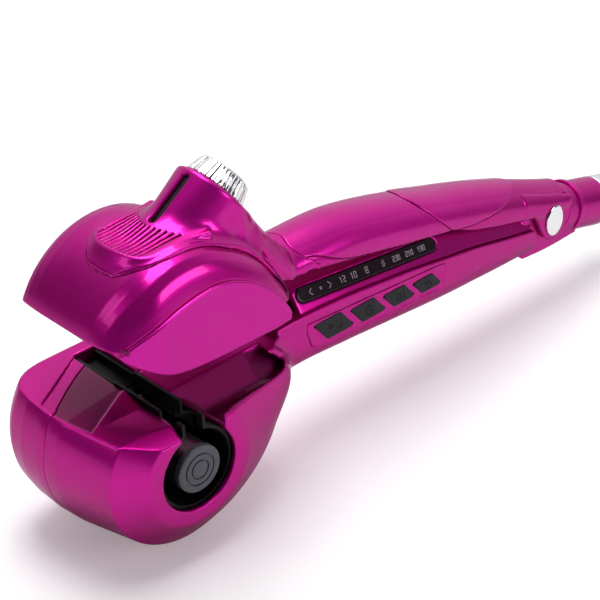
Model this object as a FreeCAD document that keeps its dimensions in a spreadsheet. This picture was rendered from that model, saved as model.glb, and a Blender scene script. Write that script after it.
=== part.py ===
import FreeCAD, Part
import os
import math
from FreeCAD import Vector, Placement, Rotation

# Automatic steam hair curler, with its jaw sprung open.
# Frame: origin on the curl barrel's axis, in the plane of the head's parting
# seam; +X towards the handle and cord, -Y the side that faces the user's head
# (open curl chamber, buttons), +Z up.  "Near" is -Y, "far" is +Y, "nose" is
# the -X end.  Millimetres.

os.makedirs("parts", exist_ok=True)
doc = FreeCAD.newDocument("hair_curler")

# ---------------------------------------------------------------- dimensions
DIMS = {
    # body: deck height, shell wall, gap either side of the parting seam
    "deck_z": 21.0, "wall": 2.2, "seam_gap": 0.1, "mid_y": -5.0,
    # curl chamber, and the hair slot above it
    "bore_r": 16.8, "slot_x_min": -5.0, "slot_x_max": 5.5,
    "liner_outer": 16.65, "liner_inner": 15.4, "liner_len": 39.1, "liner_y": -38.5,
    # barrel; barrel_y is its near end
    "barrel_r": 9.0, "barrel_len": 34.4, "barrel_y": -37.6,
    "heater_r": 3.2, "heater_len": 30.0,
    # winding drive
    "spindle_r": 5.0, "hub_r": 8.4, "spindle_len": 31.0,
    "rotor_outer": 14.9, "rotor_thick": 2.6, "finger_len": 16.0,
    "gear_module": 0.7, "gear_teeth": 38.0, "pinion_teeth": 15.0, "gear_width": 4.0,
    "run_clear": 0.05, "motor_r": 8.8, "motor_len": 15.0, "motor_shaft_r": 1.0,
    # hinge; ear_half is half the width over both ears
    "hinge_x": 222.0, "hinge_z": 3.6, "hinge_pin_r": 2.0,
    "ear_r": 9.5, "ear_thick": 3.2, "ear_half": 12.6, "jaw_tilt": 6.8,
    # buttons: key depth, and how far a key stands proud of the wall
    "button_deep": 3.6, "button_proud": 0.7,
    # jaw dome arc, water tower and filler knob
    "dome_x": 11.1, "dome_z": 42.8, "dome_r": 36.5,
    "tower_r": 15.2, "tower_tilt": 36.0, "knob_r": 12.6, "knob_len": 8.4,
    # tail and cord
    "tail_r": 11.3, "tail_tilt": 14.0, "ring_len": 13.0,
    "cord_r": 3.2, "cord_neck_r": 3.0, "cord_len": 20.0,
    "screw_r": 1.5, "screw_head_r": 2.8,
}
sheet = doc.addObject("Spreadsheet::Sheet", "Dims")
for row, (alias, value) in enumerate(DIMS.items(), start=1):
    sheet.set("A%d" % row, alias)
    sheet.set("B%d" % row, str(value))
    sheet.setAlias("B%d" % row, alias)
doc.recompute()


def dim(alias):
    return float(getattr(sheet, alias))


MID_Y = dim("mid_y")
HINGE_X, HINGE_Z = dim("hinge_x"), dim("hinge_z")
WALL, DECK_Z = dim("wall"), dim("deck_z")
SLOT_MIN, SLOT_MAX = dim("slot_x_min"), dim("slot_x_max")
BARREL_Y, LINER_Y = dim("barrel_y"), dim("liner_y")
PIN_R = dim("hinge_pin_r")
EAR_HALF, EAR_THICK = dim("ear_half"), dim("ear_thick")
Y_AXIS, Z_AXIS = Vector(0, 1, 0), Vector(0, 0, 1)


# ------------------------------------------------------------ document objects
pieces = []


def add_piece(obj, label):
    """Mark a document object as one of the exported pieces."""
    obj.Label = label
    pieces.append(obj)


def camel(label):
    return label.title().replace("_", "")


def add_shape(label, shape, placement=Placement()):
    obj = doc.addObject("Part::Feature", camel(label))
    obj.Shape = shape
    obj.Placement = placement
    add_piece(obj, label)


def cylinder(name, radius, height, pos, axis=Y_AXIS):
    """Cylinder whose radius and height are expressions."""
    obj = doc.addObject("Part::Cylinder", name)
    obj.setExpression("Radius", radius)
    obj.setExpression("Height", height)
    obj.Placement = Placement(Vector(*pos), Rotation(Z_AXIS, axis))
    return obj


def block(name, length, width, height, pos):
    """Box whose sizes along X, Y and Z are expressions."""
    obj = doc.addObject("Part::Box", name)
    obj.setExpression("Length", length)
    obj.setExpression("Width", width)
    obj.setExpression("Height", height)
    obj.Placement = Placement(Vector(*pos), Rotation())
    return obj


def cut(name, base, tool):
    obj = doc.addObject("Part::Cut", name)
    obj.Base, obj.Tool = base, tool
    return obj


def fuse(name, *shapes):
    obj = doc.addObject("Part::MultiFuse", name)
    obj.Shapes = list(shapes)
    return obj


# --------------------------------------------------------------- shape helpers
def one_solid(shape):
    """Drop slivers a boolean leaves behind."""
    solids = [s for s in shape.Solids if s.Volume > 2.0]
    return solids[0] if len(solids) == 1 else Part.makeCompound(solids)


def cut_all(shape, *tools):
    for tool in tools:
        shape = shape.cut(tool)
    return shape


def interp(table, x):
    """Straight-line value at x from (x, value) rows, held at both ends."""
    if x <= table[0][0]:
        return table[0][1]
    for (x0, v0), (x1, v1) in zip(table, table[1:]):
        if x <= x1:
            return v0 + (v1 - v0) * ((x - x0) / (x1 - x0))
    return table[-1][1]


def poly_wire(points):
    corners = [Vector(*p) for p in points]
    return Part.makePolygon(corners + [corners[0]])


def loft(wires):
    return Part.makeLoft(wires, True, True)


def box_at(x0, x1, y0, y1, z0, z1):
    return Part.makeBox(x1 - x0, y1 - y0, z1 - z0, Vector(x0, y0, z0))


def rod_y(radius, length, x, y, z):
    """Cylinder that runs towards +Y from its near end."""
    return Part.makeCylinder(radius, length, Vector(x, y, z), Y_AXIS)


def prism_x(points_yz, x0, x1):
    face = Part.Face(poly_wire([(x0, y, z) for y, z in points_yz]))
    return face.extrude(Vector(x1 - x0, 0, 0))


def prism_y(points_xz, y0, y1):
    face = Part.Face(poly_wire([(x, y0, z) for x, z in points_xz]))
    return face.extrude(Vector(0, y1 - y0, 0))


def prism_z(points_xy, z0, z1):
    face = Part.Face(poly_wire([(x, y, z0) for x, y in points_xy]))
    return face.extrude(Vector(0, 0, z1 - z0))


# ------------------------------------------------------------ lower head form
# y, radius on the nose side, radius stretched towards the handle
HEAD = [(-40.8, 22.6, 22.6), (-36.4, 28.8, 33.0), (-32.0, 34.4, 43.5),
        (-24.0, 36.0, 55.0), (-16.5, 37.3, 59.5), (-8.0, 38.8, 61.0),
        (0.0, 40.0, 61.5), (10.0, 40.0, 61.5), (20.0, 39.0, 60.0),
        (27.0, 36.8, 56.0), (31.0, 32.5, 48.0)]


def head_section(y, nose_r, handle_r, sides=44):
    points = []
    for i in range(sides):
        angle = 2 * math.pi * i / sides
        cos_a = math.cos(angle)
        x_radius = handle_r if cos_a > 0 else nose_r
        points.append((x_radius * cos_a, y, nose_r * math.sin(angle)))
    return poly_wire(points)


def head_form(inset):
    ys = [y for y, _, _ in HEAD]
    ys[0] += inset
    ys[-1] -= inset
    return loft([head_section(y, nose_r - inset, handle_r - inset)
                 for y, (_, nose_r, handle_r) in zip(ys, HEAD)])


# --------------------------------------------------------- lower handle form
# x, then half-width / height of the side crease / height of the bottom
LOW_WIDTHS = [(44, 14.0), (60, 15.0), (150, 15.0), (180, 13.8), (206, 12.6), (240, 12.0)]
LOW_CREASES = [(44, 22.8), (66, 23.4), (80, 23.2), (96.5, 22.4), (128, 18.8), (143, 16.7),
               (171, 12.1), (198, 5.6), (210, 3.4)]
LOW_BOTTOMS = [(44, -2.0), (75, -2.2), (100, -3.8), (130, -6.0), (160, -8.2), (190, -10.2),
               (210, -11.2), (240, -12.6)]
LOW_STATIONS = [44, 60, 66, 80, 96.5, 128, 143, 150, 171, 180, 198, 206, 209]
LOW_CAVITY_END = 206.8


def low_section(x, inset=0.0):
    half_width = interp(LOW_WIDTHS, x) - inset
    crease = interp(LOW_CREASES, x)
    bottom = interp(LOW_BOTTOMS, x) + inset
    half = [(half_width - 10.0, crease + 8.3 - inset), (half_width - 7.6, crease + 8.0 - inset),
            (half_width - 2.6, crease + 0.3 - inset * 0.6), (half_width, crease - inset)]
    round_r, round_h = 9.0, (crease - bottom) * 0.36      # rounded bottom corner
    for i in range(8):
        angle = math.radians(90.0 * i / 7)
        half.append((half_width - round_r + round_r * math.cos(angle),
                     bottom + round_h - round_h * math.sin(angle)))
    return poly_wire([(x, MID_Y - side, z) for side, z in half]
                     + [(x, MID_Y + side, z) for side, z in reversed(half)])


low_outer = loft([low_section(x) for x in LOW_STATIONS])
low_inner = loft([low_section(x, WALL) for x in LOW_STATIONS[:-1] + [LOW_CAVITY_END]])

# ------------------------------------------------- fixed knuckle and round tail
TAIL_TILT = math.radians(dim("tail_tilt"))
TAIL_RUN = 24.5
TAIL_R = dim("tail_r")
tail_dir = Vector(math.cos(TAIL_TILT), 0, -math.sin(TAIL_TILT))
tail_start = Vector(236.5, MID_Y, -0.6)
tail_end = tail_start + Vector(TAIL_RUN, 0, -TAIL_RUN * math.tan(TAIL_TILT))


def tail_rod(radius, length, start):
    """Cylinder along the tail's axis, towards the cord."""
    return Part.makeCylinder(radius, length, start, tail_dir)


KNUCKLE = [(205.5, -10.6), (205.5, 10.5), (211, 11.3), (216, 10.6), (228, 9.8),
           (238.0, 8.6), (240.5, -11.0), (225, -11.9), (214, -11.4)]        # x, z
knuckle_half = EAR_HALF - EAR_THICK - 0.4
knuckle = prism_y(KNUCKLE, MID_Y - knuckle_half, MID_Y + knuckle_half)
knuckle = knuckle.cut(tail_rod(30, 12, tail_start + tail_dir * 4.2))
tail = tail_rod(TAIL_R, (tail_end - tail_start).Length + 3.0, tail_start - tail_dir * 3.0)

# ------------------------------------------------------------ button positions
# label, x centre, z centre, width, height, slant
BUTTONS = [("button_direction", 86.8, 12.6, 14.4, 9.6, 3.8),
           ("button_timer", 105.5, 11.4, 13.2, 8.8, 3.5),
           ("button_steam", 122.9, 10.2, 12.2, 8.0, 3.3),
           ("button_power", 139.1, 9.0, 11.4, 7.2, 3.0)]
NEAR_WALL_Y = MID_Y - 15.0


def slanted(x, z, width, height, slant, grow):
    """Four-sided outline in XZ that leans towards -X at the top."""
    half_w, half_h = width / 2 + grow, height / 2 + grow
    return [(x - half_w - slant, z + half_h), (x + half_w - slant, z + half_h),
            (x + half_w + slant, z - half_h), (x - half_w + slant, z - half_h)]


# ---------------------------------------------------------- indicator window
WINDOW_HALF = 3.1
WINDOW_X = (76.2, 147.3)
SHOULDER_Y, SHOULDER_Z = 5.0, 7.7     # run and rise of the handle's sloped shoulder
WINDOW_UP = 0.66                      # how far up the shoulder the window lies


def shoulder_point(x):
    return Vector(x, MID_Y - (interp(LOW_WIDTHS, x) - 2.6) + SHOULDER_Y * WINDOW_UP,
                  interp(LOW_CREASES, x) + 0.3 + SHOULDER_Z * WINDOW_UP)


def window_form(grow, low, high):
    """Round-ended slab along the near shoulder, between two depths."""
    nose_end, tail_side_end = (shoulder_point(x) for x in WINDOW_X)
    along = (tail_side_end - nose_end).normalize()
    outward = along.cross(Vector(0, SHOULDER_Y, SHOULDER_Z).normalize())
    up = outward.cross(along)
    radius = WINDOW_HALF + grow
    points = []
    for centre, first_angle in ((nose_end, 90), (tail_side_end, -90)):
        for i in range(9):
            angle = math.radians(first_angle + 180.0 * i / 8)
            points.append(centre + along * (radius * math.cos(angle))
                          + up * (radius * math.sin(angle)) + outward * low)
    return Part.Face(poly_wire(points)).extrude(outward * (high - low))


# --------------------------------------------------------- lower body, joined
# x, z, y of the head's seat, reach from the seat towards the near side
SCREWS = [(-14.0, -27.0, 22.0, 30.0), (44.0, -16.0, 22.0, 30.0),
          (66.0, 7.0, 5.0, 16.0), (177.0, 0.5, 3.0, 12.0)]
SCREW_R, SCREW_HEAD_R = dim("screw_r"), dim("screw_head_r")

# Recess for the near cheek: a ramp, then a flat floor (y, z).
TROUGH = [(-16.5, 30), (-16.5, 19.5), (-26.0, 9.6), (-34.9, 9.6), (-34.9, 30)]
TROUGH_WALL = [(-14.3, 30), (-14.3, 18.6), (-25.1, 7.4), (-37.1, 7.4), (-37.1, 30)]


def lower_outside():
    head = head_form(0.0).cut(box_at(-80, 120, -60, 60, DECK_Z, 80))
    outside = head.fuse(low_outer).fuse(knuckle).fuse(tail)
    # Trim to the deck, except for the handle's raised middle.
    above_deck = box_at(20, 66, -60, 60, DECK_Z, 60)
    raised = box_at(58.5, 70, MID_Y - 12.4, MID_Y + 12.4, DECK_Z, 60)
    return outside.cut(above_deck.cut(raised))


def lower_cavity():
    return cut_all(
        head_form(WALL),
        box_at(-80, 120, -60, 60, DECK_Z - WALL, 80),
        prism_x(TROUGH_WALL, -28.7, 72),
        box_at(SLOT_MIN - 2.0, SLOT_MAX + 2.0, -45, 27.0, 12.0, 30),
        box_at(-27.0, -5.5, -16.5, 0.5, 16.4, 30),
    ).fuse(low_inner.common(box_at(52, 240, -60, 60, -60, 60)))


def add_screw_bosses(body, outside):
    for x, z, seat_y, reach in SCREWS:
        boss = rod_y(3.6, seat_y + 39.0, x, -39.0, z).common(outside)
        tube = rod_y(SCREW_HEAD_R + 1.4, 40, x, seat_y - 2, z).common(outside)
        head_way = rod_y(SCREW_HEAD_R + 0.2, 40, x, seat_y, z)
        body = body.fuse(boss).fuse(tube).cut(head_way)
        body = body.cut(rod_y(SCREW_R + 0.03, reach + 4, x, seat_y - reach, z))
    return body


def lower_body():
    outside = lower_outside()
    trough = prism_x(TROUGH, -26.5, 70)
    spring_room = rod_y(6.2, 9.0, HINGE_X, MID_Y - 4.5, HINGE_Z).fuse(
        box_at(HINGE_X - 16, HINGE_X + 0.5, MID_Y - 4.5, MID_Y + 4.5,
               HINGE_Z - 4.0, HINGE_Z + 14))
    body = cut_all(
        outside, lower_cavity(), trough,
        box_at(SLOT_MIN, SLOT_MAX, -45, 25.0, 0, 30),                      # hair slot
        # shallow pocket in the deck, nose side of the slot
        prism_y([(-25.0, 30), (-25.0, 18.9), (-7.5, 18.6), (-7.5, 30)], -14.5, -1.5),
        tail_rod(4.0, 60.0, Vector(203, MID_Y, -3.6)),                     # wire way
        tail_rod(6.05, 14.0, tail_end - tail_dir * 13.0),                  # swivel socket
        rod_y(PIN_R + 0.02, 60, HINGE_X, -35, HINGE_Z),                    # pin hole
        spring_room)
    for _, *outline in BUTTONS:
        body = body.cut(prism_y(slanted(*outline, 1.5), NEAR_WALL_Y - 1, NEAR_WALL_Y + 3.0))
    bezel_room = prism_y([(72.0, 19.8), (74.0, 6.4), (148.5, 2.2), (150.6, 14.2)],
                         NEAR_WALL_Y - 0.5, NEAR_WALL_Y + 0.65)
    # Seat for the indicator window, then the smaller opening behind it.
    body = cut_all(body, bezel_room, window_form(0.15, -1.4, 3.0), window_form(-0.9, -4.0, 1.0))
    body = add_screw_bosses(body, outside)
    chamber = rod_y(dim("bore_r"), 43.0, 0, -42, 0)
    gear_room = rod_y(14.5, 5.4, 0, 2.4, 0)
    body = cut_all(body, trough, chamber, gear_room)
    # Trough floor over the chamber, on both sides of the slot.
    for x0, x1 in ((SLOT_MAX, 15.5), (-15.5, SLOT_MIN)):
        body = body.fuse(box_at(x0, x1, -34.95, -25.95, 8.35, 9.6))
    return body


# The body is parted on the seam plane.
body = lower_body()
gap = dim("seam_gap")
add_shape("lower_body_near_half", one_solid(body.common(box_at(-80, 320, -60, -gap, -60, 60))))
add_shape("lower_body_far_half", one_solid(body.common(box_at(-80, 320, gap, 60, -60, 60))))

# ------------------------------------------------------------ chamber and hair
liner = fuse("LinerFused",
             cylinder("LinerOuter", "Dims.liner_outer", "Dims.liner_len", (0, LINER_Y, 0)),
             block("LinerGuide", "Dims.slot_x_max - Dims.slot_x_min - 0.1",
                   "Dims.liner_len", "8 mm", (SLOT_MIN + 0.05, LINER_Y, 12.6)))
liner_tools = fuse(
    "LinerTools",
    cylinder("LinerInner", "Dims.liner_inner", "Dims.liner_len - 1.6", (0, LINER_Y - 0.1, 0)),
    block("LinerThroat", "8.0 mm", "41 mm", "22 mm", (-3.75, LINER_Y - 0.1, 3.0)),
    cylinder("LinerBack", "Dims.hub_r + 0.4", "8 mm", (0, -4, 0)),
    block("LinerRecess", "36 mm", "9.3 mm", "20 mm", (-18, -35.1, 8.25)))
add_piece(cut("Liner", liner, liner_tools), "chamber_liner")

# Guide trough that carries the hair across the far half.
guide_outer = block("TroughOuter", "10.0 mm", "23.6 mm", "5.0 mm", (-4.75, 1.2, 14.6))
guide_inner = block("TroughInner", "7.6 mm", "30 mm", "5 mm", (-3.55, -1.0, 16.0))
add_piece(cut("GuideTrough", guide_outer, guide_inner), "hair_guide_trough")

# ------------------------------------------------------------------ curl barrel
barrel_tube = cylinder("BarrelTube", "Dims.barrel_r", "Dims.barrel_len", (0, BARREL_Y, 0))
barrel_bore = cylinder("BarrelBore", "Dims.heater_r + 0.05", "Dims.heater_len + 2",
                       (0, BARREL_Y - 0.1, 0))
add_piece(cut("Barrel", barrel_tube, barrel_bore), "heated_barrel")
add_piece(cylinder("Heater", "Dims.heater_r", "Dims.heater_len", (0, BARREL_Y + 1.0, 0)),
          "barrel_heater_cartridge")


def origin_part(part_body, role):
    return [f for f in part_body.Origin.OriginFeatures if f.Role == role][0]


def add_sketch(part_body, name, role, points):
    """Closed outline on one of the body's base planes."""
    sketch = part_body.newObject("Sketcher::SketchObject", name)
    sketch.AttachmentSupport = [(origin_part(part_body, role), "")]
    sketch.MapMode = "FlatFace"
    for start, end in zip(points, points[1:] + points[:1]):
        sketch.addGeometry(Part.LineSegment(Vector(*start, 0), Vector(*end, 0)), False)
    return sketch


# Barrel end cap: radius, height towards the near side.
CAP_PROFILE = [(0, 0), (9.6, 0), (9.6, 2.2), (9.1, 2.9), (6.9, 2.95), (6.7, 2.4), (6.3, 2.4),
               (6.1, 3.0), (4.2, 3.0), (4.0, 2.4), (3.6, 2.4), (3.4, 3.05), (0, 3.1)]
cap = doc.addObject("PartDesign::Body", "BarrelCap")
cap_sketch = add_sketch(cap, "CapProfile", "XY_Plane", CAP_PROFILE)
cap_turned = cap.newObject("PartDesign::Revolution", "CapTurned")
cap_turned.Profile = cap_sketch
cap_turned.ReferenceAxis = (origin_part(cap, "Y_Axis"), [""])
cap_turned.Angle = 360.0
cap.Tip = cap_turned
cap.Placement = Placement(Vector(0, BARREL_Y - 0.05, 0), Rotation(Vector(1, 0, 0), 180))
add_piece(cap, "barrel_end_cap")

# Fixed spindle: carries the barrel, and the rotor turns on it.
spindle = fuse("SpindleFused",
               cylinder("SpindleBar", "Dims.spindle_r", "Dims.spindle_len", (0, -3.15, 0)),
               cylinder("SpindleFlange", "9 mm", "2.4 mm", (0, 25.4, 0)))
add_piece(cut("Spindle", spindle, cylinder("SpindleBore", "1.6 mm", "40 mm", (0, -6, 0))),
          "barrel_spindle")

# Winding rotor: flat C-shaped disc with a finger that sweeps round the barrel.
finger_tube = cut("FingerTube",
                  cylinder("FingerOuter", "14.6 mm", "Dims.finger_len", (0, -22.2, 0)),
                  cylinder("FingerInner", "12.4 mm", "Dims.finger_len + 2", (0, -23.2, 0)))
finger = doc.addObject("Part::Common", "Finger")
finger.Base = finger_tube
finger.Tool = block("FingerWindow", "8 mm", "20 mm", "16 mm", (4.6, -23, 4.0))
rotor_disc = cylinder("RotorDisc", "Dims.rotor_outer", "Dims.rotor_thick", (0, -6.2, 0))
rotor_tools = fuse("RotorTools",
                   cylinder("RotorBore", "Dims.barrel_r + 0.9", "8 mm", (0, -8.0, 0)),
                   block("RotorGap", "8 mm", "6 mm", "16 mm", (-3.75, -8.0, 9.5)))
add_piece(cut("Rotor", fuse("RotorFused", rotor_disc, finger), rotor_tools), "winding_rotor")

# ---------------------------------------------------------------- rotor drive
MODULE, GEAR_WIDTH = dim("gear_module"), dim("gear_width")
GEAR_TEETH, PINION_TEETH = dim("gear_teeth"), dim("pinion_teeth")
MESH_ANGLE = math.radians(-20.0)
gear_centres = (GEAR_TEETH + PINION_TEETH) * MODULE / 2
MOTOR_X = gear_centres * math.cos(MESH_ANGLE)
MOTOR_Z = gear_centres * math.sin(MESH_ANGLE)


def gear_shape(teeth, width, bore, near_y, phase, x=0.0, z=0.0):
    """Spur gear; phase is the angle of its first tooth."""
    pitch_r = teeth * MODULE / 2
    # radius, half thickness of the tooth as a share of the pitch
    flank = [(pitch_r - 1.1 * MODULE, 0.26), (pitch_r, 0.19), (pitch_r + 0.8 * MODULE, 0.10)]
    pitch = 2 * math.pi / teeth
    polar = []
    for i in range(int(teeth)):
        centre = phase + i * pitch
        polar += [(r, centre - share * pitch) for r, share in flank]
        polar += [(r, centre + share * pitch) for r, share in reversed(flank)]
    outline = [(x + r * math.cos(angle), z + r * math.sin(angle)) for r, angle in polar]
    return prism_y(outline, near_y, near_y + width).cut(rod_y(bore, width + 2, x, near_y - 1, z))


# A tooth of the gear points at the pinion, and a gap of the pinion at the gear.
spindle_fit_r = dim("spindle_r") + dim("run_clear")
gear = gear_shape(GEAR_TEETH, GEAR_WIDTH, spindle_fit_r, 3.2, MESH_ANGLE)
hub = rod_y(dim("hub_r"), 6.6, 0, -3.0, 0)
hub_rim = rod_y(12.6, 0.7, 0, -3.58, 0).cut(rod_y(dim("barrel_r") + 0.9, 2.0, 0, -4.5, 0))
hub_flange = rod_y(12.6, 1.7, 0, -3.0, 0).fuse(hub_rim)
hub_slot = box_at(-3.75, 4.25, -8, -0.9, 8.9, 20)
add_shape("rotor_drive_gear", gear.fuse(hub).fuse(hub_flange).cut(
    rod_y(spindle_fit_r, 12, 0, -5, 0)).cut(hub_slot))
add_shape("motor_pinion", gear_shape(
    PINION_TEETH, GEAR_WIDTH + 0.6, dim("motor_shaft_r"), 2.9,
    MESH_ANGLE + math.pi + math.pi / PINION_TEETH, MOTOR_X, MOTOR_Z))

add_piece(cylinder("MotorShaft", "Dims.motor_shaft_r", "9.0 mm", (MOTOR_X, 2.4, MOTOR_Z)),
          "motor_shaft")
motor_can = cylinder("MotorCan", "Dims.motor_r", "Dims.motor_len", (MOTOR_X, 8.2, MOTOR_Z))
motor_bore = cylinder("MotorEndBore", "Dims.motor_shaft_r + 0.05", "4 mm",
                      (MOTOR_X, 7.7, MOTOR_Z))
add_piece(cut("Motor", motor_can, motor_bore), "rotor_motor")
bracket = block("BracketPlate", "24 mm", "1.2 mm", "21 mm", (MOTOR_X - 11, 23.4, MOTOR_Z - 10.5))
bracket_hole = cylinder("BracketHole", "2.2 mm", "4 mm", (MOTOR_X, 22, MOTOR_Z))
add_piece(cut("MotorBracket", bracket, bracket_hole), "motor_bracket")

# ------------------------------------------- boards, window, bezel and buttons
add_piece(block("MainBoard", "93 mm", "1.6 mm", "10 mm", (72.0, MID_Y + 7.0, 3.0)),
          "power_control_board")
add_piece(block("ButtonBoard", "74 mm", "1.2 mm", "9 mm", (76.0, NEAR_WALL_Y + 5.3, 5.2)),
          "button_board")
add_shape("indicator_light_board", window_form(-1.2, -6.6, -5.6))
add_shape("indicator_window", window_form(-0.15, -1.3, 0.15))

bezel = prism_y([(72.5, 19.3), (74.4, 6.9), (148.1, 2.8), (150.1, 13.8)],
                NEAR_WALL_Y + 0.05, NEAR_WALL_Y + 0.62)
for _, *outline in BUTTONS:
    bezel = bezel.cut(prism_y(slanted(*outline, 0.35), NEAR_WALL_Y - 3, NEAR_WALL_Y + 4.0))
add_shape("button_bezel", bezel)


def add_button(label, x, z, width, height, slant):
    """Slanted key, rounded on the four edges that run along Y."""
    key = doc.addObject("PartDesign::Body", camel(label))
    pad = key.newObject("PartDesign::Pad", label + "_key")
    pad.Profile = add_sketch(key, label + "_outline", "XZ_Plane",
                             slanted(0, 0, width, height, slant, 0.0))
    pad.setExpression("Length", "Dims.button_deep")
    key.Tip = pad
    doc.recompute()
    corners = ["Edge%d" % i for i, edge in enumerate(pad.Shape.Edges, start=1)
               if abs(abs(edge.tangentAt(edge.FirstParameter).y) - 1) < 1e-6]
    rounded = key.newObject("PartDesign::Fillet", label + "_corners")
    rounded.Base = (pad, corners)
    rounded.Radius = 1.4
    key.Tip = rounded
    inner_y = NEAR_WALL_Y + dim("button_deep") - dim("button_proud")
    key.Placement = Placement(Vector(x, inner_y, z), Rotation())
    add_piece(key, label)


for button in BUTTONS:
    add_button(*button)


# ---------------------------------------------------------------- case screws
def screw(x, z, seat_y, length):
    """Screw driven from the far side into the near half."""
    shank = rod_y(SCREW_R, length, x, seat_y - length, z)
    head = rod_y(SCREW_HEAD_R, 1.8, x, seat_y, z)
    drive = Part.makeBox(4.0, 1.0, 0.8, Vector(x - 2.0, seat_y + 1.2, z - 0.4))
    return shank.fuse(head).cut(drive)


add_shape("case_screws", Part.makeCompound(
    [screw(x, z, seat_y, reach - 0.4) for x, z, seat_y, reach in SCREWS]))

# -------------------------------------------------------------- jaw dome form
# The dome's side outline, nose to handle, at its full width and at the near
# cheek (x, z).  The full outline starts as an arc.
DOME_X, DOME_Z, DOME_R = dim("dome_x"), dim("dome_z"), dim("dome_r")
FULL = [(DOME_X + DOME_R * math.cos(math.radians(a)), DOME_Z + DOME_R * math.sin(math.radians(a)))
        for a in range(164, 50, -6)]
FULL += [(38.5, 68.6), (44.0, 64.2), (49.0, 59.0), (53.5, 53.0), (57.0, 47.5), (59.0, 43.6)]
CHEEK = [(-20.6, 51.9), (-16.6, 55.2), (-12.7, 57.6), (-5.8, 60.6), (1.1, 63.1),
         (8.0, 64.6), (14.0, 65.6), (19.5, 66.0), (26.3, 64.6), (33.2, 61.4),
         (39.1, 57.8), (44.7, 53.2), (49.2, 47.8), (52.4, 43.9)]
# y, fullness: 0 is the cheek outline and 1 the full one
DOME_INNER_STATIONS = [(-31.4, 0.32), (-29.5, 0.60), (-26.5, 0.83), (-22.5, 0.96),
                       (-18.5, 1.0), (14.0, 1.0), (20.0, 0.97), (24.5, 0.88), (27.4, 0.72)]
DOME_NEAR_Y, DOME_FAR_Y = -32.2, 28.6
JAW_TILT = math.radians(dim("jaw_tilt"))


def resample(line, count=22):
    """Points at equal steps along a polyline."""
    travel = [0.0]
    for (x0, z0), (x1, z1) in zip(line, line[1:]):
        travel.append(travel[-1] + math.hypot(x1 - x0, z1 - z0))
    points = []
    for i in range(count):
        at = travel[-1] * i / (count - 1)
        k = max(j for j in range(len(travel)) if travel[j] <= at + 1e-9)
        k = min(k, len(line) - 2)
        share = (at - travel[k]) / (travel[k + 1] - travel[k])
        (x0, z0), (x1, z1) = line[k], line[k + 1]
        points.append((x0 + (x1 - x0) * share, z0 + (z1 - z0) * share))
    return points


FULL_EVEN, CHEEK_EVEN = resample(FULL), resample(CHEEK)


def under_z(x):
    """Underside of the open jaw."""
    return 52.8 - (x + 23.9) * math.tan(JAW_TILT)


def dome_outline(fullness):
    return [(xc + (xf - xc) * fullness, zc + (zf - zc) * fullness)
            for (xf, zf), (xc, zc) in zip(FULL_EVEN, CHEEK_EVEN)]


def dome_section(y, fullness, inset):
    points = []
    for x, z in dome_outline(fullness):
        # The inset runs towards a point inside the dome.
        to_x, to_z = x - 15.0, z - 45.0
        reach = math.hypot(to_x, to_z)
        points.append((x - to_x / reach * inset, y, z - to_z / reach * inset))
    # An inner form runs out through the open underside.
    drop = 7.0 if inset > 0.5 else 0.0
    for end in (0, -1):
        x = points[end][0]
        points[end] = (x, y, under_z(x) - drop)
    return poly_wire(points)


def dome_form(inset=0.0):
    stations = ([(DOME_NEAR_Y + inset, 0.0)] + DOME_INNER_STATIONS
                + [(DOME_FAR_Y - inset, 0.60)])
    return loft([dome_section(y, fullness, inset) for y, fullness in stations])


# --------------------------------------------------------- upper handle form
# x, lower edge z, top z, half-width
UP = [(46, 44.9, 51.6, 15.0), (57, 44.0, 52.2, 15.0), (70, 42.5, 52.6, 15.2),
      (85, 40.0, 53.0, 15.2), (98, 37.6, 53.0, 15.2), (109, 35.3, 51.8, 15.2),
      (124, 32.6, 48.6, 15.2), (147, 28.3, 42.8, 15.2), (156, 26.6, 40.0, 15.0),
      (169, 20.5, 36.3, 14.6), (184, 16.5, 31.5, 14.0), (203, 11.2, 24.9, 13.1),
      (213, 9.0, 20.6, 12.6), (222, 7.0, 16.6, 12.6), (234, 5.6, 12.4, 12.4)]


def up_section(x, low_z, top_z, half_width, inset, drop):
    half_width -= inset
    height = top_z - inset - low_z
    half = [(half_width, low_z - drop), (half_width, low_z + 0.30 * height)]
    for i in range(1, 9):
        angle = math.radians(90.0 * i / 8)
        half.append((half_width * math.cos(angle) ** 0.72,
                     low_z + 0.30 * height + 0.70 * height * math.sin(angle)))
    return poly_wire([(x, MID_Y - side, z) for side, z in half]
                     + [(x, MID_Y + side, z) for side, z in reversed(half[:-1])])


def up_form(inset=0.0, drop=0.0, x_start=UP[0][0], x_end=UP[-1][0]):
    """Handle form; drop lowers its underside, x_start and x_end move its ends."""
    xs = [x_start] + [row[0] for row in UP[1:-1]] + [x_end]
    return loft([up_section(x, *row[1:], inset, drop) for x, row in zip(xs, UP)])


# ----------------------------------------------------------------- hinge caps
# share of full size, height above the ear's face
CAP_LAYERS = [(1.0, -0.55), (1.0, 0.12), (0.9, 0.55), (0.62, 0.85), (0.2, 0.95)]


def oval_cap(side, sides=28):
    """Domed oval badge over one end of the hinge pin; side is -1 near, 1 far."""
    layers = []
    for size, rise in CAP_LAYERS:
        angles = [2 * math.pi * i / sides for i in range(sides)]
        layers.append(poly_wire([(HINGE_X + 0.3 + 6.2 * 0.86 * size * math.cos(angle),
                                  MID_Y + side * (EAR_HALF) + side * rise,
                                  HINGE_Z + 7.3 * size * math.sin(angle)) for angle in angles]))
    return loft(layers)


near_cap, far_cap = oval_cap(-1), oval_cap(1)

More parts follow.
